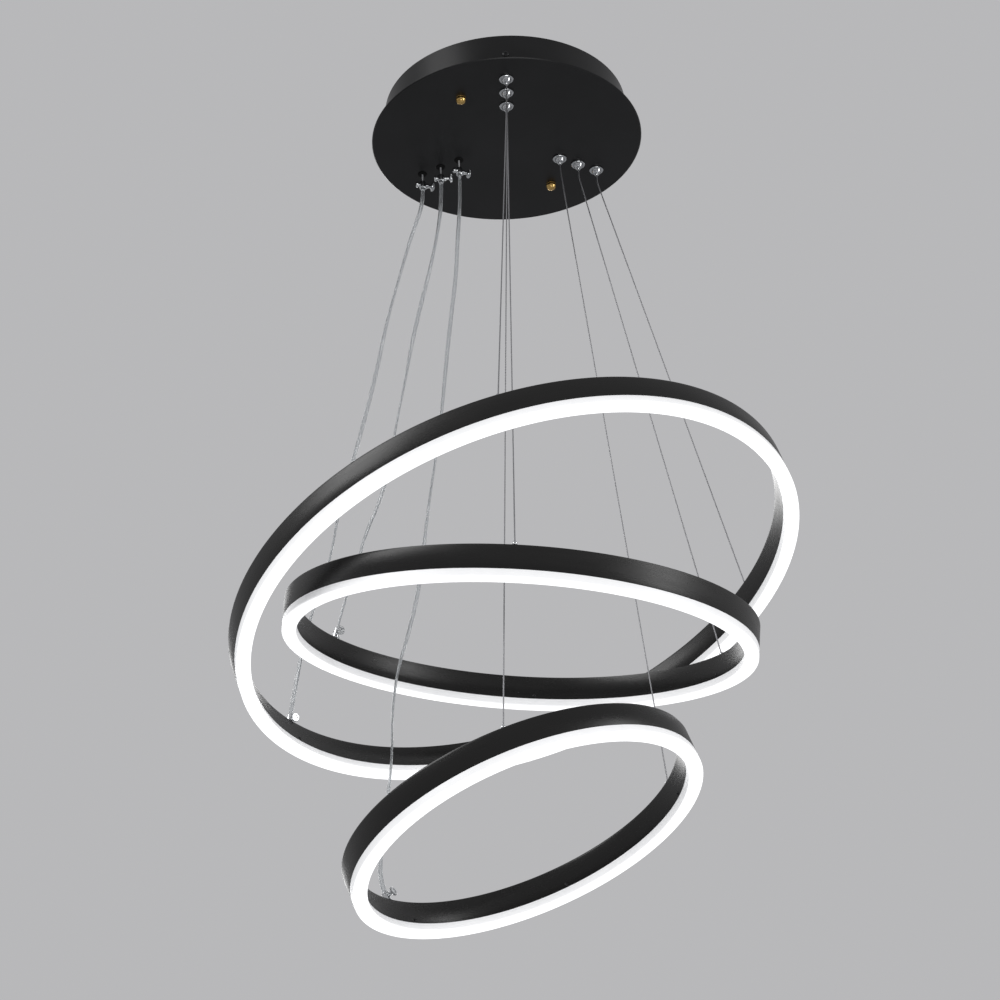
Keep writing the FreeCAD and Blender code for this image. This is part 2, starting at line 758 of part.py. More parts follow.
def make_clamp_screw(ring_name):
    body = make_hand_screw("clamp_screw_" + ring_name, "stem_radius + seat_gap",
                           "clamp_screw_reach")
    spot = under_canopy(ring_name, "left", size("clamp_drop"))
    place(body, *spot, turn=CLAMP_TURN[ring_name])
    return body


# ---- rings --------------------------------------------------------------------------------------

def make_channel(ring_name):
    """Black hoop, open below, with holes in its web for the fittings and in its inner wall."""
    outer = "radius_" + ring_name
    inner = outer + " - channel_width"
    roof = "channel_height - channel_web"
    body = turned("channel_" + ring_name, [
        (inner, "0"), (inner, "channel_height"), (outer, "channel_height"), (outer, "0"),
        (outer + " - channel_wall", "0"), (outer + " - channel_wall", roof),
        (inner + " + channel_wall", roof), (inner + " + channel_wall", "0")])
    tops = new_sketch(body, "XY_Plane", "web_holes_" + ring_name)
    tops.AttachmentOffset = FreeCAD.Placement(FreeCAD.Vector(0, 0, size("channel_height")),
                                              FreeCAD.Rotation())
    bind(tops, {"AttachmentOffset.Base.z": "channel_height"})
    middle = outer + " - channel_width / 2"
    for line in LINES:
        hole = "cord_radius + cord_bore_gap" if line == "left" else "ball_thread_radius + fit_gap"
        degrees = lug_turn(ring_name, line)
        add_circle(tops, "(%s) * cos(%.1f deg)" % (middle, degrees),
                   "(%s) * sin(%.1f deg)" % (middle, degrees), hole)
    pocket(body, tops, "2 * channel_web")
    side = new_sketch(body, "XZ_Plane", "edge_hole_" + ring_name)
    side.AttachmentOffset = FreeCAD.Placement(
        FreeCAD.Vector(0, 0, 0),
        FreeCAD.Rotation(FreeCAD.Vector(0, 1, 0), RINGS[ring_name]["screw_turn"]))
    add_circle(side, "0", "edge_screw_height", "edge_screw_radius + fit_gap")
    cut = pocket(body, side, inner + " + 2 * channel_wall", reverse=True)
    repeat_around(body, [cut], 6)
    body.Placement = ring_frame(ring_name)
    return keep(body)


def make_diffuser(ring_name):
    """Opal hoop below the channel: full width outside, two tongues up between the walls."""
    outer = "radius_" + ring_name
    inner = outer + " - channel_width"
    edge = "diffuser_edge"
    low = "-diffuser_drop"
    slip = "channel_wall + slide_gap"
    tongue = "channel_wall + slide_gap + diffuser_wall"
    floor = "-diffuser_drop + diffuser_floor"
    shoulder = "-fit_gap"
    body = turned("diffuser_" + ring_name, [
        (inner + " + " + edge, low), (outer + " - " + edge, low),
        (outer, low + " + " + edge), (outer, shoulder),
        (outer + " - " + slip.replace("+", "-"), shoulder),
        (outer + " - " + slip.replace("+", "-"), "diffuser_tongue"),
        (outer + " - " + tongue.replace("+", "-"), "diffuser_tongue"),
        (outer + " - " + tongue.replace("+", "-"), floor),
        (inner + " + " + tongue, floor), (inner + " + " + tongue, "diffuser_tongue"),
        (inner + " + " + slip, "diffuser_tongue"), (inner + " + " + slip, shoulder),
        (inner, shoulder), (inner, low + " + " + edge)])
    body.Placement = ring_frame(ring_name)
    return keep(body)


def make_led_strip(ring_name):
    """LED strip under the channel's web, open where the cord comes in."""
    middle = "radius_%s - channel_width / 2" % ring_name
    top = "channel_height - channel_web - fit_gap"
    body = turned("led_strip_" + ring_name, [
        (middle + " - strip_width / 2", top + " - strip_thick"),
        (middle + " + strip_width / 2", top + " - strip_thick"),
        (middle + " + strip_width / 2", top), (middle + " - strip_width / 2", top)],
        "360 - strip_opening")
    body.Placement = ring_frame(ring_name, lug_turn(ring_name, "left") + size("strip_opening") / 2)
    return keep(body)


def make_wire_lugs(ring_name):
    """Two ball studs on the channel's top, where the near and the right wire pull."""
    members = []
    for line in ("near", "right"):
        spot = on_ring(ring_name, line, size("channel_height"))
        post = doc.addObject("Part::Cylinder", "post_%s_%s" % (ring_name, line))
        bind(post, {"Radius": "ball_post_radius", "Height": "ball_lift"})
        post.Placement.Base = spot
        thread = doc.addObject("Part::Cylinder", "thread_%s_%s" % (ring_name, line))
        bind(thread, {"Radius": "ball_thread_radius", "Height": "channel_web"})
        thread.Placement.Base = spot - UP * size("channel_web")
        ball = doc.addObject("Part::Sphere", "ball_%s_%s" % (ring_name, line))
        bind(ball, {"Radius": "ball_radius"})
        ball.Placement.Base = spot + UP * size("ball_lift")
        stud = doc.addObject("Part::MultiFuse", "stud_%s_%s" % (ring_name, line))
        stud.Shapes = [post, thread, ball]
        members.append(stud)
    group = doc.addObject("Part::Compound", "wire_lugs_" + ring_name)
    group.Links = members
    group.Placement = ring_frame(ring_name)
    return keep(group)


def grip_frame(ring_name):
    """Frame of a ring's cord grip, on the channel's top at the left line."""
    spot = on_ring(ring_name, "left", size("channel_height"))
    return ring_frame(ring_name).multiply(FreeCAD.Placement(spot, FreeCAD.Rotation()))


def hub_frame(ring_name):
    """Frame of the grip's hub: Z along the cord, X along the hand screw, origin in the ball."""
    grip = GRIPS[ring_name]
    ball = grip_frame(ring_name).multVec(UP * size("grip_ball_lift"))
    return FreeCAD.Placement(ball, leaned(grip["lean"], grip["towards"], grip["screw_turn"]))


def shifted(frame, height):
    """A frame moved along its own Z."""
    return frame.multiply(FreeCAD.Placement(UP * height, FreeCAD.Rotation()))


def add_cylinder(name, radius, height, frame):
    cylinder = doc.addObject("Part::Cylinder", name)
    bind(cylinder, {"Radius": radius, "Height": height})
    cylinder.Placement = frame
    return cylinder


def add_ball(name, radius, frame):
    ball = doc.addObject("Part::Sphere", name)
    bind(ball, {"Radius": radius})
    ball.Placement = frame
    return ball


def make_cord_grip(ring_name):
    """Grip on the ring: base, ball and a hub that leans along the cord, bored for cord and screw."""
    bore = "cord_radius + cord_bore_gap"
    seat = grip_frame(ring_name)
    hub = hub_frame(ring_name)
    cross = FreeCAD.Placement(FreeCAD.Vector(), FreeCAD.Rotation(FreeCAD.Vector(0, 1, 0), 90))
    screw_line = shifted(hub, size("grip_height") - size("grip_screw_drop")).multiply(cross)
    body = doc.addObject("Part::MultiFuse", "grip_body_" + ring_name)
    body.Shapes = [
        add_cylinder("grip_base_" + ring_name, "grip_base_radius", "grip_base_thick", seat),
        add_ball("grip_ball_" + ring_name, "grip_radius", hub),
        add_cylinder("grip_hub_" + ring_name, "grip_radius", "grip_height", hub)]
    way = doc.addObject("Part::MultiFuse", "grip_way_" + ring_name)
    way.Shapes = [
        add_cylinder("way_down_" + ring_name, bore, "grip_ball_lift", seat),
        add_ball("way_corner_" + ring_name, bore, hub),
        add_cylinder("way_up_" + ring_name, bore, "grip_height", hub),
        add_cylinder("grip_thread_" + ring_name, "hand_shank_radius + fit_gap", "2 * grip_radius",
                     screw_line)]
    grip = doc.addObject("Part::Cut", "cord_grip_" + ring_name)
    grip.Base = body
    grip.Tool = way
    return keep(grip)


def make_grip_screw(ring_name):
    body = make_hand_screw("grip_screw_" + ring_name, "cord_radius + 2 * cord_bore_gap",
                           "grip_screw_reach")
    body.Placement = shifted(hub_frame(ring_name), size("grip_height") - size("grip_screw_drop"))
    return body


def make_edge_screws(ring_name):
    """Six small screws in the channel's inner wall that press on the diffuser's tongue."""
    body = new_body("edge_screws_" + ring_name)
    profile = new_sketch(body, "YZ_Plane", "edge_screw_" + ring_name)
    wall = "-sqrt((radius_%s - channel_width)^2 - edge_screw_head^2)" % ring_name
    add_outline(profile, [(wall + " - channel_wall - slide_gap + fit_gap", "0"),
                          (wall + " - channel_wall - slide_gap + fit_gap", "edge_screw_radius"),
                          (wall, "edge_screw_radius"), (wall, "edge_screw_head"),
                          (wall + " + 0.5 * edge_screw_head_thick", "edge_screw_head"),
                          (wall + " + edge_screw_head_thick", "0.6 * edge_screw_head"),
                          (wall + " + edge_screw_head_thick", "0")])
    screw = revolve(body, profile, "H_Axis")
    repeat_around(body, [screw], 6)
    body.Placement = shifted(ring_frame(ring_name, RINGS[ring_name]["screw_turn"]),
                             size("edge_screw_height"))
    return keep(body)


# ---- wires and cords ----------------------------------------------------------------------------

def make_wire(ring_name, line):
    """Steel wire: straight down through its gripper, then tight to the ball stud on the ring."""
    anchor = under_canopy(ring_name, line)
    top = anchor + UP * (size("shank_height") + size("wire_tail"))
    nozzle = size("flange_thick") + size("cone_height") + size("plunger_reach")
    bend = anchor - UP * (nozzle + size("wire_ease"))
    ball = ring_frame(ring_name).multVec(
        on_ring(ring_name, line, size("channel_height") + size("ball_lift")))
    pull = (bend - ball).normalize()
    end = ball + pull * (size("ball_radius") + size("seat_gap"))
    add_tube("wire_%s_%s" % (ring_name, line), [[top, bend, end]], size("wire_radius"), wire_bends)


def wire_bends(points):
    """The springy curve of a wire that starts where it leaves its nozzle."""
    return [size("wire_ease") / math.tan(half_turn(*points))]


def make_cord(ring_name):
    """Power cord from its clamp down into its grip, held at both ends and a little wavy."""
    start = under_canopy(ring_name, "left", size("clamp_drop") + size("clamp_height") / 2)
    hub = hub_frame(ring_name)
    end = hub.multVec(UP * (size("grip_height") - size("cord_entry")))
    above = hub.multVec(UP * (size("grip_height") + GRIPS[ring_name]["straight"]))
    first = FreeCAD.Vector(start.x, start.y, CORD_ROUTES[ring_name][0][2])
    route = [start, first] + CORD_ROUTES[ring_name][1:] + [above, end]
    add_tube("cord_" + ring_name, [route], size("cord_radius"))
    print("   ends at", [tuple(round(v, 1) for v in point) for point in (start, first, above, end)])


# ---- the lamp -----------------------------------------------------------------------------------

make_ceiling_bracket()
make_bracket_studs()
make_earth_screw()
make_canopy_drum()
make_canopy_plate()
make_drum_brackets()
make_drum_screws()
make_cover_nut(1)
make_cover_nut(2)
make_led_drivers()
make_terminal_block()
make_internal_leads()
make_lock_nuts()
make_cord_bushes()
make_cord_stems()
for line_name in ("near", "right"):
    make_gripper_bodies(line_name)
for name in RINGS:
    make_cord_clamp(name)
    make_clamp_screw(name)
    make_channel(name)
    make_diffuser(name)
    make_led_strip(name)
    make_wire_lugs(name)
    make_cord_grip(name)
    make_grip_screw(name)
    make_edge_screws(name)
    make_cord(name)
    for line_name in ("near", "right"):
        make_plunger(name, line_name)
        make_wire(name, line_name)

doc.recompute()
for thing in doc.Objects:
    if "Invalid" in thing.State or "Error" in thing.State:
        raise ValueError(thing.Name + " has state " + str(thing.State))
for node in nodes:
    if node.Shape.isNull() or not node.Shape.isValid():
        raise ValueError(node.Label + " has no valid shape")
    node.Shape.exportStep("parts/%s.step" % node.Label)
print(len(nodes), "pieces")
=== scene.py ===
import bmesh
import bpy
import math
from mathutils import Matrix, Vector


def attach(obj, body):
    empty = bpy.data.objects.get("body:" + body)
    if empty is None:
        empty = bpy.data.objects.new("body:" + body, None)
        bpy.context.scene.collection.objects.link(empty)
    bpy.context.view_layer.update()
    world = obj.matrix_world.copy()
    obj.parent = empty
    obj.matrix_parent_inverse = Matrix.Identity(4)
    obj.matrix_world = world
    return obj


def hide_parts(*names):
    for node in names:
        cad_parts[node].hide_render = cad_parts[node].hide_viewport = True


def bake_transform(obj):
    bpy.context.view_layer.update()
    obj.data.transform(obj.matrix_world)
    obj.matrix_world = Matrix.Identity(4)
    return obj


# Three tilted light hoops on wires and flat clear power cords, under a round black canopy. Metres, in
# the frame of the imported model: the ceiling face is at height 0 and the viewer looks up along +Y.

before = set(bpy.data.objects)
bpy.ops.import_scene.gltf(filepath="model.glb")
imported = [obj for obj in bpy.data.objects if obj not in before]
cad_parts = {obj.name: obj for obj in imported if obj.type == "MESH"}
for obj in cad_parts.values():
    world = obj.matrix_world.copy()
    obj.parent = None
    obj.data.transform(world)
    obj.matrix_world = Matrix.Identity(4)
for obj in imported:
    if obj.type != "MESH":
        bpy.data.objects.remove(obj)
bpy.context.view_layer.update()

# ---- sizes, as in the construction ----

CAMERA_PLACE = (-0.0573, -2.3949, -1.8164)
CAMERA_PITCH, CAMERA_YAW, CAMERA_ROLL = 30.239, 0.865, -2.554
CAMERA_LENS = 115.08
FLOOR_LEVEL = -4.2

FACE = -0.036
PLATE_THICK = 0.0015
DRUM_RADIUS = 0.112
LINE_PITCH = 0.020
FIT = 0.00005

CHANNEL_WIDTH = 0.012
CHANNEL_HEIGHT = 0.020
CHANNEL_WALL = 0.0012
CHANNEL_WEB = 0.002
DIFFUSER_DROP = 0.008
DIFFUSER_FLOOR = 0.002
DIFFUSER_WALL = 0.0015
DIFFUSER_TONGUE = 0.006
SLIDE_GAP = 0.00015
HOOP_STEPS = 240
HOOP_MAP_RADIUS = 0.2

SHANK_RADIUS = 0.005
SHANK_HEIGHT = 0.013
THREAD_PITCH = 0.001
FLANGE_RADIUS = 0.0065
FLANGE_THICK = 0.0016
CONE_HEIGHT = 0.0028
NOZZLE_REACH = 0.007
PLUNGER_RADIUS = 0.0018
PLUNGER_SEAT = 0.004
PLUNGER_STROKE = 0.002
BUSH_RADIUS = 0.0042
BUSH_NECK = 0.0032
BUSH_THICK = 0.001
STEM_RADIUS = 0.0008
STEM_STRANDS = 7
STEM_LAY = 0.006
WIRE_BORE = 0.0009
WIRE_RADIUS = 0.0006
WIRE_STRANDS = 6
WIRE_LAY = 0.009
WIRE_TAIL = 0.017
WIRE_EASE = 0.008
WIRE_SINK = 0.0003
BALL_RADIUS = 0.0022
BALL_LIFT = 0.0026
BALL_POST = 0.0015

CLAMP_DROP = 0.013
CLAMP_RADIUS = 0.0032
CLAMP_HEIGHT = 0.008
BOSS_RADIUS = 0.0027
BOSS_REACH = 0.0066
GRIP_BASE_RADIUS = 0.0042
GRIP_BASE_THICK = 0.0026
GRIP_BALL_LIFT = 0.0032
GRIP_RADIUS = 0.003
GRIP_HEIGHT = 0.0075
GRIP_SCREW_DROP = 0.0034
HAND_SHANK = 0.0014
HAND_HEAD = 0.0039
HAND_HEAD_THICK = 0.003
HAND_DIMPLE = 0.0016
CLAMP_SCREW_REACH = 0.0108
GRIP_SCREW_REACH = 0.009

CORD_HALF_WIDTH = 0.0019
CORD_HALF_THICK = 0.0011
CORD_WAIST = 0.28
CORD_WAIST_WIDTH = 0.0006
CORD_BORE = 0.0022
CORE_RADIUS = 0.00055
CORE_OFFSET = 0.00085
LEAD_RADIUS = 0.0014

NUT_CIRCLE = 0.0805
NUT_RADIUS = 0.0045
NUT_HEIGHT = 0.006
STUD_REACH = 0.004
STUD_RADIUS = 0.002
STRAP_TURN = 59.0
SIDE_SCREW_HEIGHT = 0.0145
EDGE_SCREW_HEAD = 0.0015
EDGE_SCREW_HEIGHT = 0.0025
DRIVER_LENGTH = 0.070
DRIVER_WIDTH = 0.032
DRIVER_HEIGHT = 0.020
DRIVER_CIRCLE = 0.070
DRIVER_GROOVE = (0.0255, 0.026)
DRIVER_TURNS = {"small": -30.0, "middle": 90.0, "large": 210.0}
BLOCK_LENGTH = 0.034
BLOCK_WIDTH = 0.018
BLOCK_HEIGHT = 0.014
POLE_PITCH = 0.010
POLE_RADIUS = 0.0026
POLE_DEPTH = 0.003

RINGS = {
    "large": {"place": 0, "radius": 0.250, "centre": (-0.008, -0.013, -0.522),
              "lean": 17.4, "towards": 156.3, "screw_turn": -1.2},
    "middle": {"place": 1, "radius": 0.200, "centre": (-0.0095, -0.0195, -0.568),
               "lean": 13.1, "towards": -63.6, "screw_turn": -3.5},
    "small": {"place": 2, "radius": 0.150, "centre": (-0.0125, -0.0525, -0.758),
              "lean": 19.0, "towards": 175.0, "screw_turn": -15.0},
}
LINES = {"near": -90.0, "right": 30.0, "left": 150.0}
LINE_CIRCLES = {"near": 0.095, "right": 0.097, "left": 0.092}
LUG_TURNS = {
    "large": {"near": -1.1, "right": -2.3, "left": -1.5},
    "middle": {"near": -1.5, "right": -2.9, "left": -2.5},
    "small": {"near": -3.7, "right": -8.2, "left": -7.8},
}
GRIPS = {
    "large": {"lean": 11.1, "towards": -23.8, "screw_turn": -49.0},
    "middle": {"lean": 14.7, "towards": -16.4, "screw_turn": -60.0},
    "small": {"lean": 19.0, "towards": 175.0, "screw_turn": -35.0},
}
CLAMP_TURNS = {"large": 20.0, "middle": 0.0, "small": 28.0}

# Routes of the power cords, from under the clamp down into the grip on the ring.
CORD_ROUTES = {
    "large": [(-.0797, .0460, -.053), (-.0797, .0460, -.070), (-.092, .052, -.102),
              (-.105, .059, -.146), (-.117, .065, -.188), (-.126, .069, -.232),
              (-.137, .075, -.276), (-.151, .082, -.326), (-.166, .090, -.378),
              (-.172, .093, -.416), (-.186, .100, -.456), (-.198, .106, -.494),
              (-.2050, .1096, -.5314), (-.2115, .1125, -.5677)],
    "middle": [(-.0624, .0360, -.053), (-.0624, .0360, -.074), (-.067, .038, -.108),
               (-.075, .041, -.146), (-.085, .045, -.184), (-.094, .048, -.222),
               (-.102, .051, -.266), (-.111, .054, -.308), (-.118, .057, -.350),
               (-.127, .060, -.382), (-.141, .066, -.412), (-.149, .069, -.444),
               (-.1607, .0738, -.4753), (-.1678, .0758, -.5034)],
    "small": [(-.0450, .0260, -.053), (-.0450, .0260, -.080), (-.049, .026, -.124),
              (-.052, .027, -.168), (-.058, .027, -.212), (-.064, .028, -.262),
              (-.069, .029, -.310), (-.076, .030, -.358), (-.083, .030, -.402),
              (-.089, .031, -.448), (-.095, .032, -.492), (-.104, .033, -.530),
              (-.115, .034, -.566), (-.120, .035, -.606), (-.121, .035, -.650),
              (-.127, .036, -.694), (-.132, .036, -.730), (-.1336, .0364, -.7570),
              (-.1287, .0360, -.7712)],
}

# How the flat cords twist: share of the way down, then degrees.
CORD_TWISTS = {
    "large": [(0.0, 20), (0.2, 75), (0.4, 10), (0.6, 60), (0.8, 130), (1.0, 170)],
    "middle": [(0.0, 0), (0.15, 60), (0.3, 10), (0.5, 95), (0.7, 150), (1.0, 100)],
    "small": [(0.0, 40), (0.2, 0), (0.45, 80), (0.6, 20), (0.75, 80), (1.0, 180)],
}


# ---- camera and studio ----

def add_camera():
    """Long lens well below the lamp, looking up at it, a little rolled."""
    camera = link(bpy.data.objects.new("camera", bpy.data.cameras.new("camera")))
    camera.data.lens = CAMERA_LENS
    camera.data.sensor_width = 36.0
    camera.data.clip_end = 50.0
    camera.matrix_world = (at(CAMERA_PLACE) @ turn_z(-CAMERA_YAW) @ turn_x(90 + CAMERA_PITCH)
                           @ turn_z(CAMERA_ROLL))
    bpy.context.scene.camera = camera


def add_lamp(name, place, aim, width, height, power):
    """Soft rectangular lamp that is seen in no picture and through no clear piece."""
    data = bpy.data.lights.new(name, "AREA")
    data.shape = "RECTANGLE"
    data.size = width
    data.size_y = height
    data.energy = power
    lamp = link(bpy.data.objects.new(name, data))
    lamp.location = place
    lamp.rotation_euler = (Vector(aim) - Vector(place)).to_track_quat("-Z", "Y").to_euler()
    lamp.visible_camera = False
    lamp.visible_transmission = False


def add_studio():
    """Pale floor far below, with soft lamps round the object."""
    deselect()
    bpy.ops.mesh.primitive_plane_add(size=30, location=(0, 0, FLOOR_LEVEL))
    floor = bpy.context.object
    floor.name = "studio_floor"
    paint(floor, floor_finish())
    lamp_centre = (0, 0, -0.4)
    add_lamp("left_softbox", (-2.4, -1.6, 0.9), lamp_centre, 1.6, 1.6, 55)
    add_lamp("right_softbox", (2.6, -1.2, -0.2), lamp_centre, 1.0, 2.0, 38)
    add_lamp("front_softbox", (0.4, -2.6, -2.6), lamp_centre, 2.0, 1.2, 30)
    add_lamp("back_softbox", (-0.4, 3.0, 0.6), lamp_centre, 2.0, 1.4, 30)
    bpy.context.scene.view_settings.view_transform = "Standard"


def add_surroundings():
    """Pale surroundings: one grey that is seen and reflected, and another that lights."""
    world = bpy.data.worlds.new("studio")
    bpy.context.scene.world = world
    world.use_nodes = True
    tree = world.node_tree
    tree.nodes.clear()
    out = tree.nodes.new("ShaderNodeOutputWorld")
    mix = tree.nodes.new("ShaderNodeMixShader")
    seen = tree.nodes.new("ShaderNodeBackground")
    lights = tree.nodes.new("ShaderNodeBackground")
    path = tree.nodes.new("ShaderNodeLightPath")
    seen.inputs["Color"].default_value = (0.48, 0.48, 0.49, 1)
    lights.inputs["Color"].default_value = (0.62, 0.63, 0.65, 1)
    lights.inputs["Strength"].default_value = 0.55
    shown = path.outputs["Is Camera Ray"]
    for ray in ("Is Glossy Ray", "Is Transmission Ray"):
        either = tree.nodes.new("ShaderNodeMath")
        either.operation = "MAXIMUM"
        tree.links.new(shown, either.inputs[0])
        tree.links.new(path.outputs[ray], either.inputs[1])
        shown = either.outputs[0]
    tree.links.new(shown, mix.inputs["Fac"])
    tree.links.new(lights.outputs[0], mix.inputs[1])
    tree.links.new(seen.outputs[0], mix.inputs[2])
    tree.links.new(mix.outputs[0], out.inputs[0])


# ---- finishes ----

class Finish:
    """A node material: numbers go straight onto the shader, and patterns are added by name."""

    def __init__(self, name, **sockets):
        self.material = bpy.data.materials.new(name)
        self.material.use_nodes = True
        self.tree = self.material.node_tree
        self.shader = self.tree.nodes["Principled BSDF"]
        for socket, value in sockets.items():
            self.shader.inputs[socket.replace("_", " ")].default_value = value

    def add(self, kind, links=(), **settings):
        """A node with its settings, and its inputs by name: a number, a colour or another output."""
        node = self.tree.nodes.new("ShaderNode" + kind)
        for setting, value in settings.items():
            setattr(node, setting, value)
        for socket, value in dict(links).items():
            if isinstance(value, bpy.types.NodeSocket):
                self.tree.links.new(value, node.inputs[socket])
            else:
                node.inputs[socket].default_value = value
        return node

    def place(self, scale=(1, 1, 1), uv=False):
        """Where a point is on the object, or along a piece by its own map."""
        source = self.add("UVMap", uv_map="UVMap") if uv else self.add("TexCoord")
        output = source.outputs["UV" if uv else "Object"]
        return self.add("Mapping", {"Vector": output, "Scale": scale}).outputs[0]

    def sum(self, operation, *values):
        """A sum on outputs and numbers."""
        return self.add("Math", dict(enumerate(values)), operation=operation).outputs[0]

    def noise(self, scale, detail=4.0, roughness=0.5, vector=None):
        """Clouds on the object, or on another vector."""
        node = self.add("TexNoise", {"Vector": vector or self.place(), "Scale": scale,
                                     "Detail": detail, "Roughness": roughness})
        return node.outputs["Fac"]

    def streaks(self, along, across, detail=4.0, roughness=0.5):
        """Clouds drawn out by a piece's own map, with a scale along it and one across it."""
        return self.noise(1.0, detail, roughness, self.place((along, across, 1), uv=True))

    def spread(self, value, low, high):
        """A pattern's 0 to 1 spread over a range."""
        node = self.add("MapRange", {"Value": value, "To Min": low, "To Max": high})
        return node.outputs[0]

    def tint(self, value, dark, light, low=0.3, high=0.7):
        """A pattern painted between two colours."""
        node = self.add("ValToRGB", {"Fac": value})
        node.color_ramp.elements[0].position = low
        node.color_ramp.elements[0].color = (*dark, 1)
        node.color_ramp.elements[1].position = high
        node.color_ramp.elements[1].color = (*light, 1)
        return node.outputs["Color"]

    def feed(self, socket, output):
        self.tree.links.new(output, self.shader.inputs[socket])

    def coat(self, pattern, dark, light, smooth, rough):
        """Colour and roughness from one pattern."""
        self.feed("Base Color", self.tint(pattern, dark, light))
        self.feed("Roughness", self.spread(pattern, smooth, rough))

    def relief(self, height, depth, strength=1.0):
        bump = self.add("Bump", {"Height": height, "Distance": depth, "Strength": strength})
        self.feed("Normal", bump.outputs[0])


def floor_finish():
    finish = Finish("studio_floor", Roughness=0.8)
    grain = finish.noise(3.0)
    finish.feed("Base Color", finish.tint(grain, (0.80, 0.80, 0.81), (0.84, 0.84, 0.85)))
    return finish.material


def satin_black():
    """Powder coat of the canopy: black, finely pebbled, with a soft sheen."""
    finish = Finish("satin_black", IOR=1.5, Specular_IOR_Level=0.25)
    pebbles = finish.noise(1400.0, 3.0)
    clouds = finish.noise(18.0, 5.0)
    finish.coat(clouds, (0.004, 0.004, 0.0042), (0.007, 0.007, 0.0075), 0.30, 0.42)
    finish.relief(pebbles, 0.00003, 0.5)
    return finish.material


def brushed_black():
    """Black anodised hoop, brushed round its length, so its highlights stand across it."""
    finish = Finish("brushed_black", IOR=1.5, Specular_IOR_Level=0.3, Anisotropic=0.8)
    hairs = finish.streaks(6, 9000, 6.0, 0.7)
    clouds = finish.streaks(30, 160)
    finish.feed("Base Color", finish.tint(hairs, (0.003, 0.003, 0.003), (0.010, 0.0095, 0.009)))
    finish.feed("Roughness", finish.spread(clouds, 0.22, 0.33))
    tangent = finish.add("Tangent", direction_type="UV_MAP", uv_map="UVMap")
    finish.feed("Tangent", tangent.outputs[0])
    finish.relief(hairs, 0.00002, 0.6)
    return finish.material


def opal_light():
    """Milky hoop lit from inside: bright below, where the strip shines, and dimmer up its sides."""
    finish = Finish("opal_light", Roughness=0.42, IOR=1.49, Specular_IOR_Level=0.4)
    across = finish.add("SeparateXYZ", {0: finish.place(uv=True)}).outputs["Y"]
    glow = finish.add("ValToRGB", {"Fac": finish.sum("PINGPONG", across, 0.5)})
    stops = glow.color_ramp.elements
    stops[0].color = (0.10, 0.10, 0.104, 1)
    stops[1].color = (0.95, 0.95, 0.96, 1)
    # The dip to 0.58 at 0.248, where a side meets the floor, is a line of painted shade from the
    # wall's thickness; the other stops are the glow of the lit hoop.
    for position, level in ((0.18, 0.22), (0.225, 0.70), (0.248, 0.58), (0.275, 0.94)):
        stop = stops.new(position)
        stop.color = (level, level, level * 1.01, 1)
    milk = finish.noise(90.0, 3.0)
    finish.feed("Base Color", finish.tint(milk, (0.80, 0.80, 0.805), (0.84, 0.84, 0.84)))
    finish.feed("Emission Color", glow.outputs["Color"])
    finish.shader.inputs["Emission Strength"].default_value = 1.0
    finish.relief(finish.noise(900.0, 2.0), 0.00002, 0.3)
    return finish.material


def handled_metal(name, dark, light, smooth, rough, scale, depth):
    """Plated or lacquered metal with faint marks where hands have touched it."""
    finish = Finish(name, Metallic=1.0)
    marks = finish.noise(scale, 5.0, 0.6)
    finish.coat(marks, dark, light, smooth, rough)
    finish.relief(marks, depth, 0.3)
    return finish.material


def strand_steel():
    """Thin stranded steel wire, a little dull between its strands."""
    finish = Finish("strand_steel", Metallic=1.0)
    streaks = finish.streaks(200, 6)
    finish.coat(streaks, (0.20, 0.20, 0.21), (0.34, 0.34, 0.35), 0.42, 0.56)
    return finish.material


def clear_sheath():
    """Clear soft plastic, faintly cloudy."""
    finish = Finish("clear_sheath", Transmission_Weight=0.9, IOR=1.38)
    haze = finish.streaks(60, 4)
    finish.coat(haze, (0.78, 0.80, 0.81), (0.88, 0.89, 0.90), 0.06, 0.16)
    return finish.material


def tinned_core():
    """Bunched tinned copper, twisted, with dark lines of painted shade between the hairs."""
    finish = Finish("tinned_core", Metallic=1.0)
    spot = finish.add("SeparateXYZ", {0: finish.place(uv=True)}).outputs
    run = finish.sum("MULTIPLY", spot["X"], 180.0)
    slant = finish.sum("ADD", run, spot["Y"])
    hair_shade_stripes = finish.sum("SINE", finish.sum("MULTIPLY", slant, 50.0))
    level = finish.add("MapRange", {"Value": hair_shade_stripes, "From Min": -1.0}).outputs[0]
    # The darker colour in the lines between the hairs is painted shade; the same stripes also set the
    # roughness and the bumps.
    finish.coat(level, (0.34, 0.34, 0.34), (0.60, 0.60, 0.60), 0.50, 0.36)
    finish.relief(level, 0.00005, 0.6)
    return finish.material


def zinc_plate():
    """Zinc plated steel: pale grey with a blue cast and a faint spangle."""
    finish = Finish("zinc_plate", Metallic=1.0)
    spangle = finish.add("TexVoronoi", {"Vector": finish.place(), "Scale": 260.0}).outputs["Color"]
    clouds = finish.noise(35.0, 5.0)
    finish.feed("Base Color", finish.tint(clouds, (0.44, 0.46, 0.49), (0.62, 0.63, 0.64)))
    finish.feed("Roughness", finish.spread(spangle, 0.30, 0.46))
    finish.relief(clouds, 0.00003, 0.3)
    return finish.material


def black_screw_steel():
    """Blackened screw, with bare metal showing through at scuffs."""
    finish = Finish("black_screw_steel", Metallic=0.8)
    scuffs = finish.noise(900.0, 6.0, 0.7)
    finish.feed("Base Color", finish.tint(scuffs, (0.02, 0.02, 0.021), (0.10, 0.10, 0.10), 0.55, 0.8))
    finish.feed("Roughness", finish.spread(scuffs, 0.28, 0.45))
    return finish.material


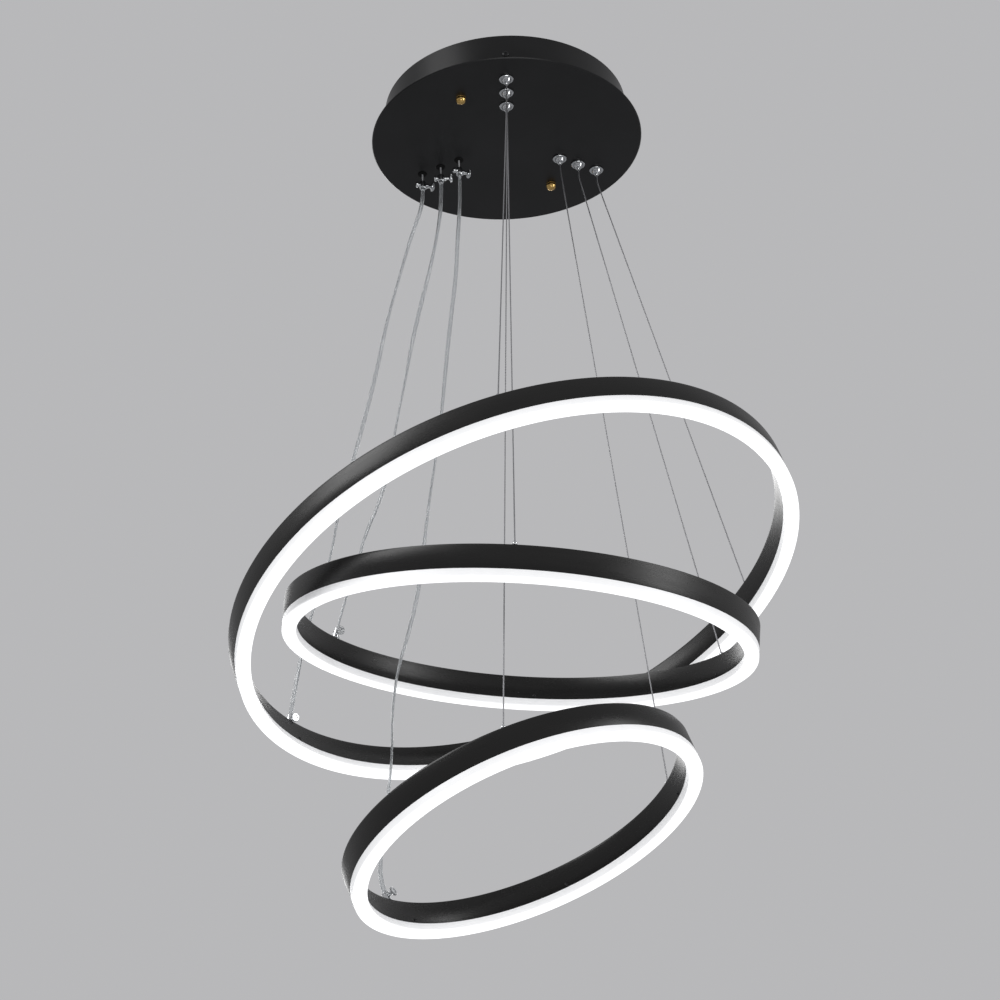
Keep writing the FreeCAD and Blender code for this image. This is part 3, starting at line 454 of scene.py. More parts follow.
def moulded_plastic(name, dark, light, roughness, shine=0.4):
    """Moulded plastic with a fine spark-eroded grain."""
    finish = Finish(name, IOR=1.46, Specular_IOR_Level=shine)
    clouds = finish.noise(40.0)
    finish.coat(clouds, dark, light, roughness - 0.06, roughness + 0.06)
    finish.relief(finish.noise(900.0, 2.0), 0.00004, 0.4)
    return finish.material


def strip_board(name):
    """White flexible board of a ring, with a yellow light chip every few millimetres round it."""
    finish = Finish("strip_board_" + name, Roughness=0.5)
    place = finish.add("TexCoord").outputs["Object"]
    local = finish.add("Mapping", {"Vector": place, "Location": RINGS[name]["centre"],
                                   "Rotation": ring_frame(name).to_euler()}, vector_type="TEXTURE")
    share = finish.add("TexGradient", {"Vector": local.outputs[0]}, gradient_type="RADIAL")
    pitch = finish.sum("FRACT", finish.sum("MULTIPLY", share.outputs["Fac"], 190.0))
    finish.feed("Base Color", finish.tint(pitch, (0.82, 0.82, 0.80), (0.85, 0.62, 0.12), 0.58, 0.62))
    finish.relief(pitch, 0.0002, 0.3)
    return finish.material


# ---- making pieces ----

def link(thing):
    bpy.context.scene.collection.objects.link(thing)
    return thing


def deselect():
    bpy.ops.object.select_all(action="DESELECT")


def activate(pieces):
    """Select some pieces alone, and work on the first."""
    deselect()
    for piece in pieces:
        piece.select_set(True)
    bpy.context.view_layer.objects.active = pieces[0]


def smooth(degrees):
    """Smooth shading of the active piece, but for edges sharper than this."""
    bpy.ops.object.shade_smooth_by_angle(angle=math.radians(degrees))


def paint(piece, *materials):
    piece.data.materials.clear()
    for material in materials:
        piece.data.materials.append(material)


def edit():
    bpy.ops.object.mode_set(mode="EDIT")


def leave():
    bpy.ops.object.mode_set(mode="OBJECT")


def pick_all():
    bpy.ops.mesh.select_all(action="SELECT")


def pick(kind, wanted):
    """Select faces by their middle and normal, or edges by their middle and direction."""
    mesh = bmesh.from_edit_mesh(bpy.context.object.data)
    bpy.ops.mesh.select_mode(type=kind)
    bpy.ops.mesh.select_all(action="DESELECT")
    if kind == "FACE":
        for face in mesh.faces:
            face.select_set(wanted(face.calc_center_median(), face.normal))
    else:
        for edge in mesh.edges:
            low, high = edge.verts
            edge.select_set(wanted((low.co + high.co) / 2, (high.co - low.co).normalized()))
    bmesh.update_edit_mesh(bpy.context.object.data)


def extrude(rise):
    bpy.ops.mesh.extrude_region_move(TRANSFORM_OT_translate={"value": (0, 0, rise)})


def cut(places, axis):
    """Cut the mesh in edit mode across an axis, at some places along it."""
    for place in places:
        pick_all()
        bpy.ops.mesh.bisect(plane_co=axis * place, plane_no=axis)


def turned(name, steps, sides=40, bored=False):
    """A turned piece: a disc, or a bore's rim, drawn on through (radius, height) steps."""
    deselect()
    radius, height = steps[0]
    bpy.ops.mesh.primitive_circle_add(vertices=sides, radius=radius,
                                      fill_type="NOTHING" if bored else "NGON")
    piece = bpy.context.object
    piece.name = name
    edit()
    # An open rim has no face yet, so it is selected by its points.
    bpy.ops.mesh.select_mode(type="VERT")
    pick_all()
    bpy.ops.transform.translate(value=(0, 0, height))
    if bored:
        steps = steps + steps[:1]
    for last, following in zip(steps, steps[1:]):
        extrude(following[1] - last[1])
        share = following[0] / last[0]
        bpy.ops.transform.resize(value=(share, share, 1), center_override=(0, 0, following[1]))
    pick_all()
    bpy.ops.mesh.remove_doubles(threshold=1e-7)
    bpy.ops.mesh.normals_make_consistent(inside=False)
    leave()
    return piece


def knurl(low, high, depth):
    """Press a grip pattern into the active piece's upright faces between two heights."""
    edit()
    pick("FACE", lambda middle, normal: low < middle.z < high and abs(normal.z) < 0.1)
    bpy.ops.mesh.inset(thickness=depth * 0.8, depth=-depth, use_individual=True)
    leave()


def thread(radius, depth):
    """Steps down the ridges of a shank, from its top to just above the plate."""
    top = SHANK_HEIGHT - 0.0004
    count = round((top - PLATE_THICK - 0.0005) / THREAD_PITCH)
    steps = []
    for number in range(count):
        steps.append((radius - depth, top - THREAD_PITCH * (number + 0.25)))
        steps.append((radius, top - THREAD_PITCH * (number + 0.75)))
    return steps


def soften(piece, width):
    """Rounded edges, then smooth shading between them."""
    activate([piece])
    bevel = piece.modifiers.new("soft_edges", "BEVEL")
    bevel.width = width
    bevel.segments = 2
    bevel.limit_method = "ANGLE"
    bevel.angle_limit = math.radians(30)
    bpy.ops.object.modifier_apply(modifier=bevel.name)
    smooth(40)


def settle(piece, matrix):
    """Put a piece where a frame says, with its place in its mesh."""
    piece.data.transform(matrix)
    piece.data.update()
    return piece


def copy_to(piece, name, matrix):
    twin = piece.copy()
    twin.data = piece.data.copy()
    twin.name = name
    return settle(link(twin), matrix)


def join(name, pieces):
    activate(pieces)
    bpy.ops.object.join()
    bpy.context.object.name = name
    return bpy.context.object


def combine(piece, others, operation="UNION"):
    """One skin from pieces that run into each other, or a piece cut by others."""
    for other in others:
        boolean = piece.modifiers.new("combined", "BOOLEAN")
        boolean.operation = operation
        boolean.solver = "EXACT"
        boolean.object = other
        activate([piece])
        bpy.ops.object.modifier_apply(modifier=boolean.name)
        bpy.data.objects.remove(other)
    smooth(35)
    return piece


def box(name, width, length, height, place=(0, 0, 0)):
    """A block that stands on its place."""
    deselect()
    x, y, z = place
    bpy.ops.mesh.primitive_cube_add(size=1, location=(x, y, z + height / 2),
                                    scale=(width, length, height))
    piece = bpy.context.object
    piece.name = name
    bpy.ops.object.transform_apply(location=True, rotation=True, scale=True)
    return piece


def scatter(name, pattern, frames):
    """One piece of a pattern's copies at some frames. The pattern goes."""
    copies = [copy_to(pattern, name, place) for place in frames]
    bpy.data.objects.remove(pattern)
    return join(name, copies) if len(copies) > 1 else copies[0]


def dress(piece, body, node, material):
    """Paint a finished piece and hand it to its body in place of its node."""
    paint(piece, material)
    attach(piece, body)
    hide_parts(node)


def dress_chrome(piece, body, node):
    dress(piece, body, node, bright_chrome)


def on_circle(radius, degrees, height=0.0):
    angle = math.radians(degrees)
    return Vector((radius * math.cos(angle), radius * math.sin(angle), height))


def at(place):
    """A shift to a place."""
    return Matrix.Translation(place)


def turn_z(degrees):
    return Matrix.Rotation(math.radians(degrees), 4, "Z")


def turn_x(degrees):
    return Matrix.Rotation(math.radians(degrees), 4, "X")


def leaned(lean, towards):
    """A lean towards a side, as a turn."""
    return Matrix.Rotation(math.radians(lean), 4, on_circle(1.0, towards + 90.0))


def ring_frame(name, turn=0.0):
    """A ring's own frame: its middle at the foot of the black hoop, Z out of its top."""
    ring = RINGS[name]
    return at(ring["centre"]) @ leaned(ring["lean"], ring["towards"]) @ turn_z(turn)


def seat_on_ring(name, line, height=CHANNEL_HEIGHT):
    """Where a line's fitting sits on a ring, in the ring's frame."""
    radius = RINGS[name]["radius"] - CHANNEL_WIDTH / 2
    return on_circle(radius, LINES[line] + LUG_TURNS[name][line], height)


def under_canopy(name, line, drop=0.0):
    """Where a ring's fitting sits on the canopy's face."""
    circle = LINE_CIRCLES[line] - LINE_PITCH * RINGS[name]["place"]
    return on_circle(circle, LINES[line], FACE - drop)


def grip_frame(name):
    """The hub of a ring's cord grip: Z along the cord, X along the hand screw."""
    ball = ring_frame(name) @ seat_on_ring(name, "left", CHANNEL_HEIGHT + GRIP_BALL_LIFT)
    grip = GRIPS[name]
    return at(ball) @ leaned(grip["lean"], grip["towards"]) @ turn_z(grip["screw_turn"])


def lug_frame(name, line):
    """A fitting's own place on top of a ring."""
    return ring_frame(name) @ at(seat_on_ring(name, line))


SIDEWAYS = Matrix.Rotation(math.radians(90), 4, "Y")
ACROSS = Vector((1, 0, 0))
ALONG = Vector((0, 1, 0))


# ---- cords and wires ----

def smooth_line(route, steps):
    """Points along the smooth line that a route's points control."""
    data = bpy.data.curves.new("route", "CURVE")
    data.dimensions = "3D"
    data.resolution_u = steps
    spline = data.splines.new("NURBS")
    spline.points.add(len(route) - 1)
    for point, spot in zip(spline.points, route):
        point.co = (*spot, 1.0)
    spline.order_u = 3
    spline.use_endpoint_u = True
    curve = link(bpy.data.objects.new("route", data))
    bpy.context.view_layer.update()
    line = bpy.data.meshes.new_from_object(curve)
    points = [vertex.co.copy() for vertex in line.vertices]
    bpy.data.meshes.remove(line)
    bpy.data.objects.remove(curve)
    return points


def distances(points):
    """How far along its line each point lies."""
    run = [0.0]
    for last, following in zip(points, points[1:]):
        run.append(run[-1] + (following - last).length)
    return run


def draw_tube(mesh, points, outline, material=0):
    """Skin along points. The outline gives (across, up) offsets for a distance along the line."""
    run = distances(points)
    uv = mesh.loops.layers.uv.verify()
    up = Vector((0, 1, 0))
    rows = []
    for number, point in enumerate(points):
        ahead = points[min(number + 1, len(points) - 1)] - points[max(number - 1, 0)]
        ahead.normalize()
        up = (up - ahead * up.dot(ahead)).normalized()
        side = ahead.cross(up)
        rows.append([mesh.verts.new(point + side * across + up * along)
                     for across, along in outline(run[number])])
    count = len(rows[0])
    for number in range(len(rows) - 1):
        for k in range(count):
            corners = [(number, k), (number, k + 1), (number + 1, k + 1), (number + 1, k)]
            face = mesh.faces.new([rows[row][place % count] for row, place in corners])
            face.smooth = True
            face.material_index = material
            for loop, (row, place) in zip(face.loops, corners):
                loop[uv].uv = (run[row], place / count)
    for row in (rows[0], rows[-1]):
        cap = mesh.faces.new(row if row is rows[-1] else row[::-1])
        cap.material_index = material


def new_piece(name, draw):
    """A piece from a function that fills its mesh."""
    mesh = bmesh.new()
    draw(mesh)
    bmesh.ops.recalc_face_normals(mesh, faces=mesh.faces)
    piece = link(bpy.data.objects.new(name, bpy.data.meshes.new(name)))
    mesh.to_mesh(piece.data)
    mesh.free()
    return piece


def twist_at(twists, share):
    """Degrees at a share of the way down, eased between the listed ones."""
    for (low, start), (high, end) in zip(twists, twists[1:]):
        if share <= high:
            t = (share - low) / (high - low)
            return start + (end - start) * t * t * (3 - 2 * t)
    return twists[-1][1]


def flat_outline(half_width, half_thick, waist, offset, turn, count):
    """Points round a flat section with a waist, moved across by an offset, then turned."""
    points = []
    for k in range(count):
        angle = 2 * math.pi * k / count
        across = half_width * math.cos(angle)
        pinch = waist * math.exp(-(across / CORD_WAIST_WIDTH) ** 2)
        along = half_thick * math.sin(angle) * (1 - pinch)
        across += offset
        points.append((across * math.cos(turn) - along * math.sin(turn),
                       across * math.sin(turn) + along * math.cos(turn)))
    return points


def lobed_outline(radius, lobes, dip, turn):
    """Points round a bundle of strands: each lobe's crown, then the dip beside it."""
    points = []
    for k in range(2 * lobes):
        reach = radius * (1.0 if k % 2 else dip)
        angle = turn + math.pi * k / lobes
        points.append((reach * math.cos(angle), reach * math.sin(angle)))
    return points


def make_power_cord(name):
    """Flat clear twin cord with two bare cores inside, held by its clamp and its grip."""
    points = smooth_line(CORD_ROUTES[name], 12)
    total = distances(points)[-1]

    def section(half_width, half_thick, waist, offset, count):
        return lambda run: flat_outline(half_width, half_thick, waist, offset,
                                        math.radians(twist_at(CORD_TWISTS[name], run / total)),
                                        count)

    def draw(mesh):
        draw_tube(mesh, points, section(CORD_HALF_WIDTH, CORD_HALF_THICK, CORD_WAIST, 0, 24), 0)
        for offset in (-CORE_OFFSET, CORE_OFFSET):
            draw_tube(mesh, points, section(CORE_RADIUS, CORE_RADIUS, 0, offset, 10), 1)

    piece = new_piece("power_cord_" + name, draw)
    paint(piece, clear_cord, cord_core)
    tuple(points[0])
    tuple(points[-1])
    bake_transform(piece)
    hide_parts("cord_" + name)
    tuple(points[0])


def make_wire(name, line):
    """Twisted steel wire from inside its gripper, out of the nozzle and tight to its ball stud."""
    face = under_canopy(name, line)
    ball = ring_frame(name) @ seat_on_ring(name, line, CHANNEL_HEIGHT + BALL_LIFT)
    top = face + Vector((0, 0, WIRE_TAIL))
    nozzle = face - Vector((0, 0, NOZZLE_REACH))
    bend = nozzle - Vector((0, 0, WIRE_EASE))
    pull = (ball - bend).normalized()
    end = ball - pull * (BALL_RADIUS - WIRE_SINK)
    route = [top, nozzle, bend, bend + pull * WIRE_EASE, end - pull * 12 * WIRE_RADIUS, end]
    points = smooth_line(route, 160)

    def section(run):
        return lobed_outline(WIRE_RADIUS, WIRE_STRANDS, 0.92, 2 * math.pi * run / WIRE_LAY)

    piece = new_piece("steel_wire_%s_%s" % (name, line),
                      lambda mesh: draw_tube(mesh, points, section))
    paint(piece, wire_strands)
    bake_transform(piece)
    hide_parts("wire_%s_%s" % (name, line))
    distances(points)[-1]


# ---- rings ----

def start_section(name, left, right, low, high):
    """A rectangle across a hoop's section, upright over the X axis, in edit mode."""
    deselect()
    bpy.ops.mesh.primitive_plane_add(size=1, rotation=(math.pi / 2, 0, 0),
                                     location=((left + right) / 2, 0, (low + high) / 2))
    piece = bpy.context.object
    piece.name = name
    piece.scale = (right - left, high - low, 1)
    bpy.ops.object.transform_apply(location=True, rotation=True, scale=True)
    edit()
    return piece


def raise_edges(level, wanted, rise):
    """Draw the section's level edges at a height up, where their radius is wanted."""
    pick("EDGE", lambda middle, along: abs(along.x) > 0.9 and abs(middle.z - level) < 1e-5
         and wanted(middle.x))
    extrude(rise)


def swing_hoop(rounding):
    """Round the section's corners, swing it full circle, and map the skin round and across."""
    bpy.ops.mesh.select_mode(type="EDGE")
    pick_all()
    bpy.ops.mesh.region_to_loop()
    bpy.ops.mesh.select_all(action="INVERT")
    bpy.ops.mesh.delete(type="EDGE")
    pick_all()
    bpy.ops.mesh.select_mode(type="VERT")
    bpy.ops.mesh.bevel(offset=rounding, segments=2, affect="VERTICES")
    pick_all()
    bpy.ops.mesh.spin(steps=HOOP_STEPS, angle=2 * math.pi, center=(0, 0, 0), axis=(0, 0, 1))
    pick_all()
    bpy.ops.mesh.remove_doubles(threshold=1e-6)
    bpy.ops.mesh.normals_make_consistent(inside=False)
    leave()
    smooth(30)


def map_hoop(piece, across):
    """A map whose U runs round the hoop, in metres at one radius, and whose V is set across it."""
    uv = piece.data.uv_layers["UVMap"].data
    for face in piece.data.polygons:
        spots = [piece.data.vertices[number].co for number in face.vertices]
        angles = [math.atan2(spot.y, spot.x) for spot in spots]
        if max(angles) - min(angles) > math.pi:
            angles = [angle + 2 * math.pi if angle < 0 else angle for angle in angles]
        for loop, spot, angle in zip(face.loop_indices, spots, angles):
            radius = math.hypot(spot.x, spot.y)
            uv[loop].uv = (angle * HOOP_MAP_RADIUS, across(radius, spot.z))


def make_channel(name):
    """Black hoop: a web on top and two walls down, open below."""
    outer = RINGS[name]["radius"]
    inner = outer - CHANNEL_WIDTH
    roof = CHANNEL_HEIGHT - CHANNEL_WEB
    piece = start_section("hoop_" + name, inner, outer, roof, CHANNEL_HEIGHT)
    cut((inner + CHANNEL_WALL, outer - CHANNEL_WALL), ACROSS)
    raise_edges(roof, lambda x: not inner + CHANNEL_WALL < x < outer - CHANNEL_WALL, -roof)
    swing_hoop(0.0003)
    map_hoop(piece, lambda radius, height: height + 0.5 * radius)
    settle(piece, ring_frame(name))
    dress(piece, "ring_" + name, "channel_" + name, black_brushed)


def make_diffuser(name):
    """Opal hoop: a floor, two full width walls, and a thinner tongue above each."""
    outer = RINGS[name]["radius"]
    inner = outer - CHANNEL_WIDTH
    slip = CHANNEL_WALL + SLIDE_GAP
    tongue = slip + DIFFUSER_WALL
    low = -DIFFUSER_DROP
    floor = low + DIFFUSER_FLOOR
    piece = start_section("opal_" + name, inner, outer, low, floor)
    cut((inner + slip, inner + tongue, outer - tongue, outer - slip), ACROSS)
    raise_edges(floor, lambda x: not inner + tongue < x < outer - tongue, -FIT - floor)
    raise_edges(-FIT, lambda x: inner + slip < x < outer - slip, DIFFUSER_TONGUE + FIT)
    swing_hoop(0.0004)
    half = CHANNEL_WIDTH / 2

    def across(radius, height):
        """0 up the inner side, 0.5 in the middle of the underside, 1 up the outer side."""
        sideways = (radius - inner - half) / half
        rise = max(0.0, height - low) / DIFFUSER_DROP
        return 0.5 + math.copysign(0.25 * abs(sideways) + 0.25 * min(rise, 1.0), sideways)

    map_hoop(piece, across)
    settle(piece, ring_frame(name))
    dress(piece, "ring_" + name, "diffuser_" + name, opal)


def dome(radius, lift, *angles):
    """Steps over a ball, at degrees above its waist."""
    return [(radius * math.cos(math.radians(angle)), lift + radius * math.sin(math.radians(angle)))
            for angle in angles]


def make_wire_lugs(name):
    """Two ball studs on the hoop's top, where the near and the right wire pull."""
    ball = dome(BALL_RADIUS, BALL_LIFT, -42, -25, -8, 10, 28, 46, 64, 80)
    stud = turned("stud", [(BALL_POST, -CHANNEL_WEB), (BALL_POST, 0), (0.0024, 0),
                           (0.0024, 0.0003), (0.0017, 0.0006), (BALL_POST, 0.0009)] + ball)
    soften(stud, 0.0001)
    seats = [lug_frame(name, line) for line in ("near", "right")]
    studs = scatter("ball_studs_" + name, stud, seats)
    dress_chrome(studs, "ring_" + name, "wire_lugs_" + name)


def make_cord_grip(name):
    """Grip of the power cord: base on the hoop, ball, leaning hub and the neck of its screw."""
    hub = turned("hub", dome(GRIP_RADIUS, 0, -78, -60, -40, -20, 0) + [
        (GRIP_RADIUS, GRIP_HEIGHT - 0.0022), (GRIP_RADIUS - 0.0002, GRIP_HEIGHT - 0.0020),
        (GRIP_RADIUS, GRIP_HEIGHT - 0.0018), (GRIP_RADIUS, GRIP_HEIGHT - 0.0004),
        (GRIP_RADIUS - 0.0004, GRIP_HEIGHT), (CORD_BORE, GRIP_HEIGHT),
        (CORD_BORE, GRIP_HEIGHT - 0.0028)])
    settle(hub, grip_frame(name))
    base = turned("base", [
        (GRIP_BASE_RADIUS, 0), (GRIP_BASE_RADIUS, GRIP_BASE_THICK - 0.0008),
        (GRIP_BASE_RADIUS - 0.0004, GRIP_BASE_THICK - 0.0002),
        (GRIP_BASE_RADIUS - 0.0010, GRIP_BASE_THICK)])
    settle(base, lug_frame(name, "left"))
    neck = turned("neck", [(0.0021, 0), (0.0021, GRIP_RADIUS + 0.0006),
                           (0.0018, GRIP_RADIUS + 0.0009)], 28)
    across = grip_frame(name) @ at((0, 0, GRIP_HEIGHT - GRIP_SCREW_DROP)) @ SIDEWAYS
    settle(neck, across)
    grip = combine(hub, [base, neck])
    grip.name = "grip_" + name
    dress_chrome(grip, "ring_" + name, "cord_grip_" + name)
    screw = scatter("grip_thumb_screw_" + name, hand_screw(0.0024, GRIP_SCREW_REACH), [across])
    dress_chrome(screw, "grip_screw_" + name, "grip_screw_" + name)


def make_edge_screws(name):
    """Six small hexagon socket screws in the inner wall, which hold the opal hoop."""
    wall = math.sqrt((RINGS[name]["radius"] - CHANNEL_WIDTH) ** 2 - EDGE_SCREW_HEAD ** 2)
    screw = turned("edge_screw", [
        (0.0008, -0.0013), (0.0008, 0), (EDGE_SCREW_HEAD, 0), (EDGE_SCREW_HEAD, 0.00035),
        (0.0012, 0.0006), (0.0009, 0.0007)], 24)
    deselect()
    bpy.ops.mesh.primitive_cylinder_add(vertices=6, radius=0.0006, depth=0.001,
                                        location=(0, 0, 0.0008))
    combine(screw, [bpy.context.object], "DIFFERENCE")
    seats = [ring_frame(name, RINGS[name]["screw_turn"] + 60 * number)
             @ at((0, -wall, EDGE_SCREW_HEIGHT)) @ turn_x(-90) for number in range(6)]
    screws = scatter("socket_screws_" + name, screw, seats)
    dress(screws, "ring_" + name, "edge_screws_" + name, screw_black)


# ---- canopy and its fittings ----

def hand_screw(tip, reach):
    """Knurled hand screw: a shank from its tip up to a round head with a dimple."""
    low = reach - HAND_HEAD_THICK
    edge = 0.0005
    screw = turned("hand_screw", [
        (HAND_SHANK, tip), (HAND_SHANK, low - 0.0004), (0.0021, low), (0.0029, low + 0.0005),
        (HAND_HEAD - 0.0001, low + 0.0012), (HAND_HEAD, low + 0.0014), (HAND_HEAD, reach - edge),
        (HAND_HEAD - edge, reach), (HAND_DIMPLE + edge, reach), (HAND_DIMPLE, reach - edge)], 44)
    knurl(low + 0.0014, reach - edge, 0.00015)
    smooth(35)
    return screw


def make_grippers(line):
    """Three wire grippers: threaded shank, flange, cone, and the bore for the plunger."""
    tip = -FLANGE_THICK - CONE_HEIGHT
    steps = [(WIRE_BORE, SHANK_HEIGHT), (SHANK_RADIUS - 0.0006, SHANK_HEIGHT)]
    steps += thread(SHANK_RADIUS, 0.0003)
    steps += [(SHANK_RADIUS, 0), (FLANGE_RADIUS - 0.0003, 0), (FLANGE_RADIUS, -0.0003),
              (FLANGE_RADIUS, -FLANGE_THICK + 0.0004), (FLANGE_RADIUS - 0.0004, -FLANGE_THICK),
              (0.0046, -FLANGE_THICK), (0.0044, -FLANGE_THICK - 0.0008),
              (0.0039, -FLANGE_THICK - 0.0018), (0.0032, tip), (0.0025, tip - 0.0002),
              (PLUNGER_RADIUS + FIT, tip), (PLUNGER_RADIUS + FIT, PLUNGER_SEAT),
              (WIRE_BORE, PLUNGER_SEAT)]
    gripper = turned("gripper", steps, 44, bored=True)
    smooth(28)
    grippers = scatter("wire_grippers_" + line, gripper,
                       [at(under_canopy(name, line)) for name in RINGS])
    dress_chrome(grippers, "canopy", "gripper_bodies_" + line)


def make_plunger(name, line):
    """Release plunger round a wire, with a groove for a fingernail."""
    low, high = -NOZZLE_REACH, PLUNGER_SEAT - PLUNGER_STROKE - FIT
    plunger = turned("plunger", [
        (WIRE_BORE, low), (PLUNGER_RADIUS - 0.0004, low), (PLUNGER_RADIUS, low + 0.0005),
        (PLUNGER_RADIUS, low + 0.0009), (PLUNGER_RADIUS - 0.0002, low + 0.0011),
        (PLUNGER_RADIUS - 0.0002, low + 0.0014), (PLUNGER_RADIUS, low + 0.0016),
        (PLUNGER_RADIUS, high), (WIRE_BORE, high)], 32, bored=True)
    smooth(28)
    plunger = scatter("release_%s_%s" % (name, line), plunger, [at(under_canopy(name, line))])
    node = "plunger_%s_%s" % (name, line)
    dress_chrome(plunger, node, node)


def make_cord_bushes():
    """Three black bushes in the plate that the cords' cores come out of."""
    bore = STEM_RADIUS + FIT
    steps = [(bore, SHANK_HEIGHT), (BUSH_NECK - 0.0004, SHANK_HEIGHT)]
    steps += thread(BUSH_NECK, 0.0002)
    steps += [(BUSH_NECK, 0), (BUSH_RADIUS, 0), (BUSH_RADIUS, -0.0005),
              (BUSH_RADIUS - 0.0005, -BUSH_THICK), (bore + 0.0006, -BUSH_THICK),
              (bore, -BUSH_THICK + 0.0004)]
    bush = turned("bush", steps, 36, bored=True)
    smooth(28)
    bushes = scatter("bushes", bush, [at(under_canopy(name, "left")) for name in RINGS])
    dress(bushes, "canopy", "cord_bushes", bush_black)


def make_cord_stems():
    """Bare twisted core of each power cord, from its bush down through its clamp."""
    low = CLAMP_DROP + CLAMP_HEIGHT / 2

    def section(run):
        return lobed_outline(STEM_RADIUS, STEM_STRANDS, 0.9, 2 * math.pi * run / STEM_LAY)

    def draw(mesh):
        for name in RINGS:
            top = under_canopy(name, "left", -SHANK_HEIGHT)
            foot = under_canopy(name, "left", low)
            draw_tube(mesh, smooth_line([top, (top + foot) / 2, foot], 30), section)

    stems = new_piece("cord_cores", draw)
    dress(stems, "canopy", "cord_stems", core_silver)


def make_cord_clamp(name):
    """Cross clamp on a power cord: upright hub, and a knob and a threaded nose across it."""
    half = CLAMP_HEIGHT / 2
    bore = STEM_RADIUS + FIT
    nose = 0.75 * BOSS_REACH
    hub = turned("hub", [
        (bore, half), (CLAMP_RADIUS - 0.0014, half), (CLAMP_RADIUS - 0.0006, half - 0.0004),
        (CLAMP_RADIUS, half - 0.0014),
        (CLAMP_RADIUS, 0.0012 - half), (CLAMP_RADIUS - 0.0002, 0.0010 - half),
        (CLAMP_RADIUS, 0.0008 - half), (CLAMP_RADIUS - 0.0004, -half), (bore, -half)],
        40, bored=True)
    arm = turned("arm", [
        (0.0010, -BOSS_REACH), (0.0019, -BOSS_REACH + 0.0002), (0.0024, -BOSS_REACH + 0.0006),
        (BOSS_RADIUS, -BOSS_REACH + 0.0012), (BOSS_RADIUS, -BOSS_REACH + 0.0020),
        (0.0022, -BOSS_REACH + 0.0026), (0.0020, -CLAMP_RADIUS), (0.0020, CLAMP_RADIUS),
        (0.0024, nose - 0.0013), (0.0024, nose - 0.0003), (0.0021, nose)], 36)
    settle(arm, SIDEWAYS)
    seat = at(under_canopy(name, "left", CLAMP_DROP)) @ turn_z(CLAMP_TURNS[name])
    clamp = scatter("cross_clamp_" + name, combine(hub, [arm]), [seat])
    dress_chrome(clamp, "canopy", "cord_clamp_" + name)
    screw = scatter("clamp_thumb_screw_" + name, hand_screw(0.0010, CLAMP_SCREW_REACH),
                    [seat @ SIDEWAYS])
    dress_chrome(screw, "clamp_screw_" + name, "clamp_screw_" + name)


def make_cover_nut(number):
    """Domed cap nut with a knurled rim on one of the bracket's studs."""
    bore = STUD_RADIUS + FIT
    nut = turned("nut", [
        (bore, -STUD_REACH - FIT), (bore, 0), (NUT_RADIUS - 0.0003, 0), (NUT_RADIUS, -0.0003),
        (NUT_RADIUS, -0.0030), (NUT_RADIUS - 0.0003, -0.0034), (0.0040, -0.0045),
        (0.0033, -0.0053), (0.0022, -0.0058), (0.0010, -NUT_HEIGHT)], 40)
    knurl(-0.0030, -0.0003, 0.00015)
    smooth(35)
    spot = on_circle(NUT_CIRCLE, STRAP_TURN + 180 * number, FACE - FIT)
    nut = scatter("cap_nut_%d" % number, nut, [at(spot)])
    node = "cover_nut_%d" % number
    dress(nut, node, node, brass)


def make_side_screws():
    """Three pan head screws with a cross recess through the drum's side."""
    screw = turned("side_screw", [
        (0.0015, -0.005), (0.0015, 0), (0.0028, 0), (0.0028, 0.00095), (0.0024, 0.0013),
        (0.0017, 0.0016)], 36)
    cross = [box("slot", 0.0004, 0.0026, 0.002, (0, 0, 0.0008)),
             box("slot", 0.0026, 0.0004, 0.002, (0, 0, 0.0008))]
    combine(screw, cross, "DIFFERENCE")
    seats = [turn_z(120 * number) @ at((0, -DRUM_RADIUS, FACE + SIDE_SCREW_HEIGHT)) @ turn_x(90)
             for number in range(3)]
    screws = scatter("side_screws", screw, seats)
    dress(screws, "canopy", "drum_screws", screw_black)


def make_drivers():
    """Three driver boxes: a sunk lid, ribbed sides, and an entry for the leads at each end."""
    floor = FACE + PLATE_THICK
    driver = box("driver", DRIVER_WIDTH, DRIVER_LENGTH, DRIVER_HEIGHT)
    edit()
    near, far = DRIVER_GROOVE
    cut((-far, -near, near, far), ALONG)
    pick("FACE", lambda middle, normal: abs(normal.z) < 0.5 and near < abs(middle.y) < far)
    bpy.ops.mesh.inset(thickness=0.0001, depth=-0.0005, use_individual=True)
    pick("FACE", lambda middle, normal: normal.z > 0.9 and abs(middle.y) < 0.020)
    bpy.ops.mesh.inset(thickness=0.0025, depth=0)
    bpy.ops.mesh.inset(thickness=0.0004, depth=-0.0006)
    pick("FACE", lambda middle, normal: abs(normal.y) > 0.9 and abs(middle.y) > 0.034)
    bpy.ops.mesh.inset(thickness=0.004, depth=0)
    bpy.ops.mesh.inset(thickness=0.0006, depth=-0.002)
    leave()
    soften(driver, 0.0006)
    seats = [turn_z(degrees) @ at((DRIVER_CIRCLE, 0, floor)) for degrees in DRIVER_TURNS.values()]
    drivers = scatter("driver_boxes", driver, seats)
    dress(drivers, "canopy", "led_drivers", driver_white)


